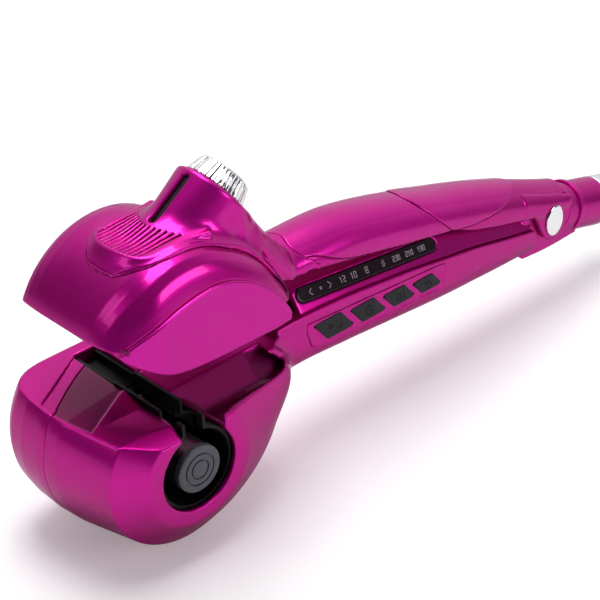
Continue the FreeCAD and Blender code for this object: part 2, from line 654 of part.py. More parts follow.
# ---------------------------------------------------- upper shell and covers
# Plan outlines (x, y) of the two covers let into the handle's top.
FRONT_COVER = [(74.0, MID_Y - 6.0), (84.0, MID_Y - 13.0), (156.0, MID_Y - 13.2), (139.0, MID_Y),
               (156.0, MID_Y + 13.2), (84.0, MID_Y + 13.0), (74.0, MID_Y + 6.0)]
REAR_COVER = [(139.6, MID_Y), (158.6, MID_Y - 12.9), (182.0, MID_Y - 8.5), (204.0, MID_Y),
              (182.0, MID_Y + 8.5), (158.6, MID_Y + 12.9)]
EAR_WEB = [(212.5, 9.2), (213.5, 14), (232.5, 9.5), (231.4, 3.2), (214.0, 0.0)]     # x, z
# Room for the fixed knuckle through the whole swing (x, z).
KNUCKLE_ROOM = [(200.0, 2.0), (203.5, 11.6), (211, 13.2), (222, 13.0), (234.0, 10.6),
                (250, 9.0), (250, -20), (200, -20)]
COVER_THICK = 1.4

handle_outer = up_form()
front_prism, rear_prism = prism_z(FRONT_COVER, 0.0, 80.0), prism_z(REAR_COVER, 0.0, 80.0)
cover_span = box_at(70, 206, -40, 40, 0, 80)
# Everything above a surface 45 % of the way up the handle.
upper_part = loft([poly_wire([(x, MID_Y - 30, low_z + 0.45 * (top_z - low_z)),
                              (x, MID_Y + 30, low_z + 0.45 * (top_z - low_z)),
                              (x, MID_Y + 30, 90), (x, MID_Y - 30, 90)])
                   for x, low_z, top_z, _ in UP])
skin = handle_outer.cut(up_form(COVER_THICK)).common(cover_span).common(upper_part)


def ear(side):
    outer_y = MID_Y + side * EAR_HALF
    near_y = min(outer_y, outer_y - side * EAR_THICK)
    return rod_y(dim("ear_r"), EAR_THICK, HINGE_X, near_y, HINGE_Z).fuse(
        prism_y(EAR_WEB, near_y, near_y + EAR_THICK))


def upper_shell():
    shell = cut_all(
        dome_form().fuse(handle_outer),
        dome_form(WALL),
        up_form(2.0, 6.0, 48.5, 232.0),
        box_at(40, 60, MID_Y - 12.0, MID_Y + 12.0, 30, 48.5))     # throat, head to handle
    shell = shell.fuse(ear(-1)).fuse(ear(1))
    shell = shell.cut(prism_y(KNUCKLE_ROOM, MID_Y - knuckle_half - 0.4,
                              MID_Y + knuckle_half + 0.4))
    shell = shell.cut(rod_y(PIN_R + dim("run_clear"), 60, HINGE_X, -35, HINGE_Z))
    # Sink the cover seats, and back them with a thin floor.
    shell = shell.cut(skin.common(front_prism.fuse(rear_prism)))
    floor = up_form(COVER_THICK).cut(up_form(2.6, 6.0, 47.0, 233.0))
    shell = shell.fuse(floor.common(cover_span).common(upper_part))
    # Room for the lower handle's shoulder once the jaw is shut.
    room = loft([low_section(x, -0.4) for x in (57.8, 66, 80, 96.5, 128, 150)])
    room = room.common(box_at(50, 160, -40, 40, 22.0, 40))
    room.rotate(Vector(HINGE_X, MID_Y, HINGE_Z), Y_AXIS, math.degrees(JAW_TILT))
    feed_hole = Part.makeCylinder(3.0, 30.0, Vector(34, MID_Y, 60), Z_AXIS)
    shell = one_solid(shell.cut(room).cut(feed_hole))
    return one_solid(shell.cut(near_cap).cut(far_cap))


add_shape("upper_jaw_shell", upper_shell())
add_shape("handle_front_cover", one_solid(skin.common(front_prism)))
add_shape("handle_thumb_cover", one_solid(skin.common(rear_prism)))

# -------------------------------------------------------------- cheek plates
NEAR_SKIRT = [(-20.6, 51.6), (-19.4, 48.8), (-12.4, 43.6), (-5.6, 39.7), (1.0, 37.6),
              (10.0, 36.6), (22.0, 36.1), (43.6, 36.0), (52.8, 36.6)]       # x, z
add_shape("cheek_plate_near", prism_y(CHEEK_EVEN + [(54.2, 40.2)] + NEAR_SKIRT[::-1],
                                      -33.9, -32.3))
far_cheek = [(x, z) for x, z in dome_outline(0.58) if z > under_z(x) + 0.4]
nose_x, handle_x = far_cheek[0][0], far_cheek[-1][0]
far_cheek = ([(nose_x, under_z(nose_x) + 0.3)] + far_cheek
             + [(handle_x, under_z(handle_x) + 0.3)])
add_shape("cheek_plate_far", prism_y(far_cheek, 28.7, 29.9))

# --------------------------------------- tray, jaw floor and hair closing pad
# x: height of the tray's top where it does not follow the handle's lower edge
TRAY_TOPS = {85: 51.2, 98: 49.3, 109: 47.6, 124: 44.7, 147: 39.8}


def tray_section(x, low_z, half_width):
    top = TRAY_TOPS.get(x, low_z + (10.4 if x < 180 else 9.6))
    wide, narrow = half_width - 2.75, half_width - 4.4
    return poly_wire([(x, MID_Y - wide, top - 1.4), (x, MID_Y + wide, top - 1.4),
                      (x, MID_Y + narrow, top), (x, MID_Y - narrow, top)])


tray = loft([tray_section(x, low_z, half_width) for x, low_z, _, half_width in UP[2:12]])
add_shape("upper_handle_tray", one_solid(tray.common(up_form(2.7, 6.0, 48.5, 232.0))))


def opened(x, z):
    """Where a point of the closed jaw sits with the jaw open."""
    cos_t, sin_t = math.cos(JAW_TILT), math.sin(JAW_TILT)
    dx, dz = x - HINGE_X, z - HINGE_Z
    return HINGE_X + dx * cos_t + dz * sin_t, HINGE_Z - dx * sin_t + dz * cos_t


NOZZLE_X, NOZZLE_Y = opened(0.25, 21.0)[0], -6

# Flat plate under the dome, with the nozzle hole.
floor_ends = (-21.0, 52.5)
jaw_floor = prism_y([(floor_ends[0], under_z(floor_ends[0]) + 0.2),
                     (floor_ends[0], under_z(floor_ends[0]) + 2.0),
                     (floor_ends[1], under_z(floor_ends[1]) + 2.0),
                     (floor_ends[1], under_z(floor_ends[1]) + 0.2)], -29.6, 26.0)
jaw_floor = jaw_floor.common(dome_form(WALL + 0.15))
jaw_floor = jaw_floor.cut(Part.makeCylinder(5.2, 30, Vector(NOZZLE_X, NOZZLE_Y, 35), Z_AXIS))
add_shape("jaw_floor_plate", one_solid(jaw_floor))

# Pad under the floor; it closes the slot as the jaw comes down.
hair_pad = prism_y([opened(-3.1, 23.28), opened(3.6, 23.28), opened(3.6, 17.6),
                    opened(-3.1, 17.6)], -24.0, 20.0)
add_shape("hair_closing_pad", hair_pad.cut(
    Part.makeCylinder(2.1, 40, Vector(NOZZLE_X, NOZZLE_Y, 30), Z_AXIS)))

# ----------------------------------------------------------------- water tank
TOWER_TILT = math.radians(dim("tower_tilt"))
TOWER_R = dim("tower_r")
tower_axis = Vector(math.cos(TOWER_TILT), 0, math.sin(TOWER_TILT))
tower_across = Vector(-math.sin(TOWER_TILT), 0, math.cos(TOWER_TILT))
RIM = Vector(42.9, MID_Y, 84.4)
# Oval sections below the rim: x and z of the nose-side end, x and z of the
# handle-side end, half-width
TOWER_OVALS = [(6.0, 81.0, 66.0, 55.0, 15.6), (14.5, 85.3, 62.0, 60.0, 15.4),
               (22.7, 90.2, 58.0, 65.5, 15.2)]
# Round-ended plan of the tank's foot (x, y from the middle); mirrored.
FOOT_HALF = [(30.0, -14.0), (-3.0, -14.0), (-6.6, -12.6), (-8.8, -9.0), (-9.6, -3.0)]
FOOT_TOP = 81.8


def oval(centre, direction, half_length, half_width, sides=32):
    """Oval in the plane of the given direction and Y."""
    angles = [2 * math.pi * i / sides for i in range(sides)]
    return poly_wire([centre + direction * (half_length * math.cos(angle))
                      + Y_AXIS * (half_width * math.sin(angle)) for angle in angles])


def tower(inset):
    wires = []
    for x0, z0, x1, z1, half_width in TOWER_OVALS:
        wires.append(oval(Vector((x0 + x1) / 2, MID_Y, (z0 + z1) / 2),
                          Vector(x1 - x0, 0, z1 - z0).normalize(),
                          math.hypot(x1 - x0, z1 - z0) / 2 - inset, half_width - inset))
    wires.append(oval(RIM - tower_axis * (inset * 1.1), tower_across * -1.0,
                      TOWER_R - inset, TOWER_R - inset))
    return loft(wires)


def level_slot():
    """Round-ended slot through the tower's sloping nose-side face."""
    low, high = Vector(14.3, MID_Y, 84.9), Vector(30.3, MID_Y, 94.2)
    along = (high - low).normalize()
    normal = Vector(-along.z, 0, along.x)
    half, inward, outward = 1.7, 5.0, 3.0
    ends = [Part.makeCylinder(half, inward + outward, end - normal * inward, normal)
            for end in (low, high)]
    corners = [low - normal * inward, high - normal * inward,
               high + normal * outward, low + normal * outward]
    return ends[0].fuse(ends[1]).fuse(
        prism_y([(p.x, p.z) for p in corners], MID_Y - half, MID_Y + half))


def water_tank(slot):
    foot = ([(x, MID_Y + y) for x, y in FOOT_HALF]
            + [(x, MID_Y - y) for x, y in reversed(FOOT_HALF)])
    tank = cut_all(tower(0.0).fuse(prism_z(foot, 60.0, FOOT_TOP)),
                   dome_form(-0.12), up_form(-0.12, 8.0), box_at(-40, 90, -40, 40, 0, 47))
    reservoir = cut_all(tower(2.0), dome_form(-2.2), up_form(-2.2, 8.0))
    reservoir = reservoir.common(box_at(12, 80, -40, 40, 56, 120))
    neck = Part.makeCylinder(9.0, 14.0, RIM - tower_axis * 9.0, tower_axis)
    tank = cut_all(tank, reservoir, neck, slot)
    # Thirteen grooves in the foot's top, longer towards the sides.
    for i in range(13):
        offset = -12.0 + 2.0 * i
        end_x = 5.0 + 22.0 * (1 - math.sqrt(1 - (offset / 15.4) ** 2))
        y = MID_Y + offset
        tank = tank.cut(box_at(-12.0, end_x, y - 0.5, y + 0.5, 81.0, 83.0))
    return one_solid(tank)


slot = level_slot()
add_shape("water_tank", water_tank(slot))
level_window = slot.common(tower(0.55)).cut(tower(2.0))
add_shape("tank_level_window", max(level_window.Solids, key=lambda s: s.Volume))

# ----------------------------------------------------------------- filler cap
KNOB_R, KNOB_LEN = dim("knob_r"), dim("knob_len")
KNOB_TAPER = 0.84
RIBS = 30


def ribbed(z, scale):
    """Fluted outline at height z."""
    points = []
    for i in range(RIBS * 4):
        angle = 2 * math.pi * i / (RIBS * 4)
        radius = (KNOB_R if i % 4 in (0, 1) else KNOB_R - 0.5) * scale
        points.append((radius * math.cos(angle), radius * math.sin(angle), z))
    return poly_wire(points)


# Drawn along Z from the rim, then turned onto the tower's axis.
on_rim = Placement(RIM, Rotation(Z_AXIS, tower_axis))
knob = loft([ribbed(0.35, 1.0), ribbed(KNOB_LEN - 1.2, KNOB_TAPER)])
top_disc = Part.makeCone(KNOB_R * KNOB_TAPER - 0.6, KNOB_R * KNOB_TAPER - 1.8, 1.3,
                         Vector(0, 0, KNOB_LEN - 1.3))
plug = Part.makeCylinder(8.9, 7.6, Vector(0, 0, -6.6))
plug_hollow = Part.makeCylinder(7.0, 6.0, Vector(0, 0, -7.6))
add_shape("filler_cap", knob.fuse(top_disc).fuse(plug).cut(plug_hollow), on_rim)
gasket = Part.makeCylinder(11.8, 0.3, Vector(0, 0, 0.02))
add_shape("filler_gasket", gasket.cut(Part.makeCylinder(9.2, 2, Vector(0, 0, -1))), on_rim)

# ------------------------------------------------- steam parts inside the dome
valve = cylinder("ValveBody", "4.4 mm", "4.6 mm", (34, MID_Y, 60.6), Z_AXIS)
valve_bore = cylinder("ValveBore", "1.2 mm", "9 mm", (34, MID_Y, 59.0), Z_AXIS)
add_piece(cut("FeedValve", valve, valve_bore), "tank_feed_valve")


def nozzle_cylinder(name, radius, height, z):
    return cylinder(name, radius, height, (NOZZLE_X, NOZZLE_Y, z), Z_AXIS)


boiler = block("BoilerBlock", "26 mm", "20 mm", "9 mm", (NOZZLE_X - 9.0, -16.0, 55.5))
add_piece(cut("Boiler", boiler, nozzle_cylinder("BoilerHole", "2.0 mm", "30 mm", 45)),
          "steam_boiler")
nozzle = fuse("NozzleFused",
              nozzle_cylinder("NozzleTube", "2.0 mm", "7.6 mm", 47.2),
              nozzle_cylinder("NozzleFlange", "4.2 mm", "2.0 mm", 53.2))
add_piece(cut("Nozzle", nozzle, nozzle_cylinder("NozzleBore", "1.1 mm", "20 mm", 40)),
          "steam_nozzle")
add_piece(cylinder("ClosingMagnet", "3.0 mm", "0.8 mm", (88, MID_Y, 48.02), Z_AXIS),
          "closing_magnet")

# ---------------------------------------------------------------------- hinge
add_piece(cylinder("HingePin", "Dims.hinge_pin_r", "2 * Dims.ear_half - 1.6",
                   (HINGE_X, MID_Y - EAR_HALF + 0.8, HINGE_Z)), "hinge_pin")
COIL_R, COIL_PITCH, COIL_LEN, COIL_WIRE_R = 4.0, 1.5, 6.0, 0.55
coil_section = Part.Wire([Part.Circle(Vector(COIL_R, 0, 0), Y_AXIS, COIL_WIRE_R).toShape()])
coil_path = Part.Wire(Part.makeHelix(COIL_PITCH, COIL_LEN, COIL_R))
add_shape("jaw_torsion_spring", coil_path.makePipeShell([coil_section], True, True),
          Placement(Vector(HINGE_X, MID_Y - COIL_LEN / 2, HINGE_Z), Rotation(Z_AXIS, Y_AXIS)))
add_shape("hinge_cap_near", near_cap)
add_shape("hinge_cap_far", far_cap)

# -------------------------------------------------------------- tail and cord
add_shape("tail_collar", tail_rod(TAIL_R + 1.0, 2.4, tail_start + tail_dir * 4.5).cut(
    tail_rod(TAIL_R + 0.05, 6, tail_start + tail_dir * 3.0)))

RING_LEN, NECK_R = dim("ring_len"), dim("cord_neck_r")
NECK_HOLE_R = NECK_R + 0.02
ring_face = tail_end + tail_dir * 0.3
swivel = tail_rod(TAIL_R, RING_LEN, ring_face)
swivel = swivel.fuse(tail_rod(6.0, 12.0, ring_face - tail_dir * 11.6))      # stub in the tail
swivel = swivel.cut(tail_rod(NECK_HOLE_R, 60, ring_face - tail_dir * 20))
swivel = swivel.cut(tail_rod(5.4, 6.0, ring_face + tail_dir * (RING_LEN - 5.0)))
add_shape("swivel_ring", swivel)

BOOT_LEN = 17.0
boot_start = ring_face + tail_dir * (RING_LEN - 4.9)
boot = Part.makeCone(5.3, 4.2, BOOT_LEN, boot_start, tail_dir)
boot = boot.cut(tail_rod(NECK_HOLE_R, 60, boot_start - tail_dir * 5))
for i in range(5):
    groove = boot_start + tail_dir * (6.2 + 2.2 * i)
    boot = boot.cut(tail_rod(8, 1.0, groove).cut(tail_rod(3.75, 3.0, groove - tail_dir)))
add_shape("strain_relief_boot", boot)

# The cord is thinner where it runs through the boot and swivel.
cord_start = boot_start + tail_dir * (BOOT_LEN + 0.05)
neck_len = (cord_start - ring_face).dot(tail_dir) + 10.5
cord = tail_rod(NECK_R, neck_len, ring_face - tail_dir * 10.0)
add_shape("power_cord_stub", cord.fuse(tail_rod(dim("cord_r"), dim("cord_len"), cord_start)))

# --------------------------------------------------------------------- export
doc.recompute()
bad = [obj.Name for obj in doc.Objects if "Invalid" in obj.State or "Error" in obj.State]
bad += [obj.Label for obj in pieces
        if obj.Shape.isNull() or not obj.Shape.Solids or not obj.Shape.isValid()]
if bad:
    raise RuntimeError("failed: %s" % bad)
for obj in pieces:
    obj.Shape.exportStep("parts/%s.step" % obj.Label)
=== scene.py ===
import bpy
import math
import numpy as np
from mathutils import Matrix, Vector


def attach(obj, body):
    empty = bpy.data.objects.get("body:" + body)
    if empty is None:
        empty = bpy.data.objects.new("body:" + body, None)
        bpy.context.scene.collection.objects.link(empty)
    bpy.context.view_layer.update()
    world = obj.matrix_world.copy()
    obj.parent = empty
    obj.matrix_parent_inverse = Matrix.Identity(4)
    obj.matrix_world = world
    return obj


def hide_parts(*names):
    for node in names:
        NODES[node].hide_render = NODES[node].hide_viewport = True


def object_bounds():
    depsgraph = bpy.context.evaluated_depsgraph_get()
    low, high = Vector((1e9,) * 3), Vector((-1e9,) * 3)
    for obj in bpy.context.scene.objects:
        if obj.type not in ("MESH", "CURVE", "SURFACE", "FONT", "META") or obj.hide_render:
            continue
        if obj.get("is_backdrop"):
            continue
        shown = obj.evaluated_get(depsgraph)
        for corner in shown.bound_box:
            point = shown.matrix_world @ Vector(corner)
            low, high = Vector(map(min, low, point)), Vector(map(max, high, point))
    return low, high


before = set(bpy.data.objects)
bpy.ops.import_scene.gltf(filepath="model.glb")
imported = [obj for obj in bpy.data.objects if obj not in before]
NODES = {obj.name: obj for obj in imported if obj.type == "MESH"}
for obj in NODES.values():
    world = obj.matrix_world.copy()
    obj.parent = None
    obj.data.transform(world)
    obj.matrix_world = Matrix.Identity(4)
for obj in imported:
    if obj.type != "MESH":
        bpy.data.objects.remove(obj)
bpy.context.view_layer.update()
MM = 0.001

# ------------------------------------------------------------------ SDF tools
def smin(a, b, k):
    h = np.maximum(k - np.abs(a - b), 0.0) / k
    return np.minimum(a, b) - h * h * k * 0.25


def smax(a, b, k):
    return -smin(-a, -b, k)


def sstep(a, b, x):
    t = np.clip((x - a) / (b - a), 0.0, 1.0)
    return t * t * (3 - 2 * t)


class Table:
    """A smoothed station table, value against position."""

    def __init__(self, tab, sigma=0.0):
        xs = np.array([p[0] for p in tab], float)
        vs = np.array([p[1] for p in tab], float)
        self.x = np.arange(xs[0] - 40.0, xs[-1] + 40.0, 0.25)
        v = np.interp(self.x, xs, vs)
        s0 = (vs[1] - vs[0]) / (xs[1] - xs[0])
        s1 = (vs[-1] - vs[-2]) / (xs[-1] - xs[-2])
        v = np.where(self.x < xs[0], vs[0] + s0 * (self.x - xs[0]), v)
        v = np.where(self.x > xs[-1], vs[-1] + s1 * (self.x - xs[-1]), v)
        if sigma > 0:
            r = int(3 * sigma / 0.25)
            k = np.exp(-0.5 * (np.arange(-r, r + 1) * 0.25 / sigma) ** 2)
            k /= k.sum()
            pad = np.concatenate([v[0] - (v[1] - v[0]) * np.arange(r, 0, -1), v,
                                  v[-1] + (v[-1] - v[-2]) * np.arange(1, r + 1)])
            v = np.convolve(pad, k, "valid")
        self.v = v

    def __call__(self, x):
        return np.interp(x, self.x, self.v)


def poly_sdf(pts, px, py):
    """Signed distance to a closed polygon, negative inside."""
    pts = np.asarray(pts, float)
    d = np.full(px.shape, 1e9)
    inside = np.zeros(px.shape, bool)
    n = len(pts)
    for i in range(n):
        ax, ay = pts[i]
        bx, by = pts[(i + 1) % n]
        ex, ey = bx - ax, by - ay
        wx, wy = px - ax, py - ay
        t = np.clip((wx * ex + wy * ey) / max(ex * ex + ey * ey, 1e-12), 0, 1)
        d = np.minimum(d, (wx - ex * t) ** 2 + (wy - ey * t) ** 2)
        c = ((ay <= py) & (by > py)) | ((by <= py) & (ay > py))
        if ey != 0:
            xi = ax + (py - ay) / ey * ex
            inside ^= c & (px < xi)
    return np.where(inside, -1.0, 1.0) * np.sqrt(d)


class Poly2:
    """Polygon distance sampled on a grid, read back bilinearly."""

    def __init__(self, pts, margin=24.0, step=0.5):
        pts = np.asarray(pts, float)
        self.lo = pts.min(0) - margin
        hi = pts.max(0) + margin
        self.n = np.ceil((hi - self.lo) / step).astype(int) + 1
        self.step = step
        gx, gy = np.meshgrid(self.lo[0] + step * np.arange(self.n[0]), self.lo[1] + step * np.arange(self.n[1]), indexing="ij")
        self.d = poly_sdf(pts, gx, gy)

    def __call__(self, x, y):
        u = np.clip((x - self.lo[0]) / self.step, 0, self.n[0] - 1.001)
        v = np.clip((y - self.lo[1]) / self.step, 0, self.n[1] - 1.001)
        i, j = u.astype(int), v.astype(int)
        fu, fv = u - i, v - j
        d = self.d
        return (d[i, j] * (1 - fu) * (1 - fv) + d[i + 1, j] * fu * (1 - fv)
                + d[i, j + 1] * (1 - fu) * fv + d[i + 1, j + 1] * fu * fv)


def catmull(pts, closed=True, per=8):
    pts = np.asarray(pts, float)
    n = len(pts)
    res = []
    rng = range(n) if closed else range(n - 1)
    for i in rng:
        p0, p1, p2, p3 = (pts[(i - 1) % n] if closed or i > 0 else pts[0], pts[i],
                          pts[(i + 1) % n], pts[(i + 2) % n] if closed or i + 2 < n else pts[-1])
        for k in range(per):
            t = k / per
            res.append(0.5 * ((2 * p1) + (-p0 + p2) * t + (2 * p0 - 5 * p1 + 4 * p2 - p3) * t * t
                              + (-p0 + 3 * p1 - 3 * p2 + p3) * t ** 3))
    if not closed:
        res.append(pts[-1])
    return np.array(res)


def contour(fn, lo, hi, h, lip=1.7):
    """Dual contouring of fn = 0 between lo and hi (mm): vertices, quads, normals."""
    lo, hi = np.array(lo, float), np.array(hi, float)
    B = 4
    H = h * B
    n = np.maximum(np.ceil((hi - lo) / H).astype(int), 1)
    cs = [lo[i] + H * (np.arange(n[i]) + 0.5) for i in range(3)]
    X, Y, Z = np.meshgrid(*cs, indexing="ij")
    fc = fn(X.ravel(), Y.ravel(), Z.ravel()).reshape(n)
    act = np.abs(fc) < H * 0.87 * lip
    N = n * B + 1
    D = np.empty(N, np.float32)
    big = np.repeat(np.repeat(np.repeat(fc, B, 0), B, 1), B, 2)
    D[:-1, :-1, :-1] = big
    D[-1], D[:, -1], D[:, :, -1] = D[-2], D[:, -2], D[:, :, -2]
    mask = np.zeros(N, bool)
    bi = np.argwhere(act)
    for a in range(B + 1):
        for b in range(B + 1):
            for c in range(B + 1):
                mask[bi[:, 0] * B + a, bi[:, 1] * B + b, bi[:, 2] * B + c] = True
    ii = np.argwhere(mask)
    P = lo + ii * h
    D[mask] = fn(P[:, 0], P[:, 1], P[:, 2])
    for ax in range(3):
        sl = [slice(None)] * 3
        for e in (0, -1):
            sl[ax] = e
            D[tuple(sl)] = np.maximum(D[tuple(sl)], 1e-3)
    S = D < 0
    pts, nrm, cells = [], [], []
    quads = []
    cshape = N - 1

    def cid(i):
        ok = np.all((i >= 0) & (i < cshape), axis=1)
        return np.where(ok, (i[:, 0] * cshape[1] + i[:, 1]) * cshape[2] + i[:, 2], -1)

    eps = h * 0.15
    for ax in range(3):
        a = [slice(None)] * 3
        b = [slice(None)] * 3
        a[ax], b[ax] = slice(0, -1), slice(1, None)
        sa, sb = S[tuple(a)], S[tuple(b)]
        e = np.argwhere(sa != sb)
        if not len(e):
            continue
        e2 = e.copy()
        e2[:, ax] += 1
        va, vb = D[tuple(e.T)], D[tuple(e2.T)]
        t = np.clip(va / (va - vb), 0.0, 1.0)
        p = lo + e * h
        p[:, ax] += t * h
        # The field's gradient at each crossing gives its normal.
        g = np.stack([fn(p[:, 0] + (k == 0) * eps, p[:, 1] + (k == 1) * eps, p[:, 2] + (k == 2) * eps)
                      - fn(p[:, 0] - (k == 0) * eps, p[:, 1] - (k == 1) * eps, p[:, 2] - (k == 2) * eps)
                      for k in range(3)], 1)
        g /= np.maximum(np.linalg.norm(g, axis=1), 1e-9)[:, None]
        o = [k for k in range(3) if k != ax]
        ring = []
        for d0, d1 in ((-1, -1), (0, -1), (0, 0), (-1, 0)):
            q = e.copy()
            q[:, o[0]] += d0
            q[:, o[1]] += d1
            ring.append(cid(q))
        inside_first = sa[tuple(e.T)]
        r = np.stack(ring, 1)
        flip = inside_first if ax != 1 else ~inside_first
        r = np.where(flip[:, None], r, r[:, ::-1])
        good = (r >= 0).all(1)
        quads.append(r[good])
        for c in ring:
            ok = c >= 0
            pts.append(p[ok]); nrm.append(g[ok]); cells.append(c[ok])
    pts, nrm, cells = np.concatenate(pts), np.concatenate(nrm), np.concatenate(cells)
    uniq, inv = np.unique(cells, return_inverse=True)
    m = len(uniq)

    def acc(w):
        return np.bincount(inv, weights=w, minlength=m)

    cnt = acc(np.ones(len(inv)))
    c = np.stack([acc(pts[:, k]) for k in range(3)], 1) / cnt[:, None]
    A = np.zeros((m, 3, 3))
    np_dot = (nrm * (pts - c[inv])).sum(1)
    rhs = np.stack([acc(nrm[:, k] * np_dot) for k in range(3)], 1)
    for i in range(3):
        for j in range(i, 3):
            v = acc(nrm[:, i] * nrm[:, j])
            A[:, i, j] = v
            A[:, j, i] = v
    A += np.eye(3)[None] * (0.06 * cnt)[:, None, None]
    dx = np.linalg.solve(A, rhs[:, :, None])[:, :, 0]
    v = c + dx
    ci = np.stack([uniq // (cshape[1] * cshape[2]), (uniq // cshape[2]) % cshape[1], uniq % cshape[2]], 1)
    cl = lo + ci * h
    v = np.clip(v, cl - 0.02 * h, cl + 1.02 * h)
    q = np.concatenate(quads)
    q = np.searchsorted(uniq, q)
    e = h * 0.35
    g = np.stack([fn(v[:, 0] + (k == 0) * e, v[:, 1] + (k == 1) * e, v[:, 2] + (k == 2) * e)
                  - fn(v[:, 0] - (k == 0) * e, v[:, 1] - (k == 1) * e, v[:, 2] - (k == 2) * e) for k in range(3)], 1)
    g /= np.maximum(np.linalg.norm(g, axis=1), 1e-9)[:, None]
    return v, q, g


def put_mesh(name, v, q, normals=None, smooth=True):
    me = bpy.data.meshes.new(name)
    v = np.asarray(v, float) * MM
    q = np.asarray(q, np.int32)
    k = q.shape[1]
    me.vertices.add(len(v))
    me.vertices.foreach_set("co", v.astype(np.float32).ravel())
    me.loops.add(q.size)
    me.loops.foreach_set("vertex_index", q.ravel())
    me.polygons.add(len(q))
    me.polygons.foreach_set("loop_start", np.arange(0, q.size, k, dtype=np.int32))
    me.polygons.foreach_set("use_smooth", np.full(len(q), smooth))
    me.update(calc_edges=True)
    me.validate()
    if normals is not None and len(me.vertices) == len(normals):
        me.normals_split_custom_set_from_vertices(normals.astype(float).tolist())
    ob = bpy.data.objects.new(name, me)
    bpy.context.scene.collection.objects.link(ob)
    return ob


def sdf_piece(name, fn, lo, hi, h, body, mat, stands_for=(), lip=1.7):
    v, q, g = contour(fn, lo, hi, h, lip)
    ob = put_mesh(name, v, q, g)
    ob.data.materials.append(mat)
    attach(ob, body)
    if stands_for:
        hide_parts(*stands_for)
    return ob

# ------------------------------------------------------------------ materials
def new_mat(name):
    m = bpy.data.materials.new(name)
    m.use_nodes = True
    nt = m.node_tree
    return m, nt, nt.nodes["Principled BSDF"]


def tex_coord(nt, scale):
    tc = nt.nodes.new("ShaderNodeTexCoord")
    mp = nt.nodes.new("ShaderNodeMapping")
    mp.inputs["Scale"].default_value = scale if isinstance(scale, tuple) else (scale, scale, scale)
    nt.links.new(tc.outputs["Object"], mp.inputs["Vector"])
    return mp.outputs["Vector"]


def noise(nt, vec, scale, detail=3.0, rough=0.55):
    n = nt.nodes.new("ShaderNodeTexNoise")
    n.inputs["Scale"].default_value = scale
    n.inputs["Detail"].default_value = detail
    n.inputs["Roughness"].default_value = rough
    nt.links.new(vec, n.inputs["Vector"])
    return n.outputs["Fac"]


def ramp(nt, fac, stops):
    r = nt.nodes.new("ShaderNodeValToRGB")
    e = r.color_ramp.elements
    while len(e) < len(stops):
        e.new(0.5)
    for k, (pos, col) in enumerate(stops):
        e[k].position = pos
        e[k].color = (col[0], col[1], col[2], 1.0)
    nt.links.new(fac, r.inputs["Fac"])
    return r.outputs["Color"]


def span(nt, fac, lo, hi):
    m = nt.nodes.new("ShaderNodeMapRange")
    m.inputs["To Min"].default_value = lo
    m.inputs["To Max"].default_value = hi
    nt.links.new(fac, m.inputs["Value"])
    return m.outputs["Result"]


def bump(nt, bsdf, height, strength, dist=0.0002, normal="Normal"):
    b = nt.nodes.new("ShaderNodeBump")
    b.inputs["Strength"].default_value = strength
    b.inputs["Distance"].default_value = dist
    nt.links.new(height, b.inputs["Height"])
    nt.links.new(b.outputs["Normal"], bsdf.inputs[normal])
    return b


def paint(name, dark, mid, light, metallic=0.72, rough=0.29, flake=0.08):
    """Pearl lacquer: flaked colour coat under a clear coat."""
    m, nt, b = new_mat(name)
    v = tex_coord(nt, 1.0)
    fl = nt.nodes.new("ShaderNodeTexVoronoi")
    fl.inputs["Scale"].default_value = 2600.0
    nt.links.new(v, fl.inputs["Vector"])
    big = noise(nt, v, 55.0, 2.0)
    lw = nt.nodes.new("ShaderNodeLayerWeight")
    lw.inputs["Blend"].default_value = 0.42
    col = ramp(nt, lw.outputs["Facing"], [(0.0, light), (0.38, mid), (1.0, dark)])
    mix = nt.nodes.new("ShaderNodeMix")
    mix.data_type = "RGBA"
    mix.blend_type = "MULTIPLY"
    mix.inputs["Factor"].default_value = 0.35
    tint = ramp(nt, fl.outputs["Distance"], [(0.0, (1.0, 1.0, 1.0)), (0.75, (0.72, 0.72, 0.76))])
    nt.links.new(col, mix.inputs[6])
    nt.links.new(tint, mix.inputs[7])
    mix2 = nt.nodes.new("ShaderNodeMix")
    mix2.data_type = "RGBA"
    mix2.blend_type = "MULTIPLY"
    mix2.inputs["Factor"].default_value = 0.25
    nt.links.new(mix.outputs[2], mix2.inputs[6])
    nt.links.new(ramp(nt, big, [(0.3, (0.86, 0.86, 0.86)), (0.7, (1, 1, 1))]), mix2.inputs[7])
    nt.links.new(mix2.outputs[2], b.inputs["Base Color"])
    b.inputs["Metallic"].default_value = metallic
    nt.links.new(span(nt, big, rough - 0.04, rough + 0.04), b.inputs["Roughness"])
    b.inputs["Specular IOR Level"].default_value = 0.22
    b.inputs["Specular Tint"].default_value = (1.0, 0.50, 0.82, 1.0)
    b.inputs["Coat Weight"].default_value = 0.30
    b.inputs["Coat Roughness"].default_value = 0.03
    b.inputs["Coat IOR"].default_value = 1.5
    bump(nt, b, fl.outputs["Distance"], flake, 0.00015)
    return m


def plastic(name, c0, c1, rough=0.5, grain=900.0, strength=0.15, spec=0.5, coat=0.0, metallic=0.0):
    m, nt, b = new_mat(name)
    v = tex_coord(nt, 1.0)
    n1 = noise(nt, v, 60.0, 3.0)
    n2 = noise(nt, v, grain, 2.0)
    nt.links.new(ramp(nt, n1, [(0.3, c0), (0.7, c1)]), b.inputs["Base Color"])
    nt.links.new(span(nt, n2, max(rough - 0.08, 0.02), min(rough + 0.08, 1.0)), b.inputs["Roughness"])
    b.inputs["Metallic"].default_value = metallic
    b.inputs["Specular IOR Level"].default_value = spec
    b.inputs["Coat Weight"].default_value = coat
    b.inputs["Coat Roughness"].default_value = 0.05
    if strength > 0:
        bump(nt, b, n2, strength, 0.00012)
    return m


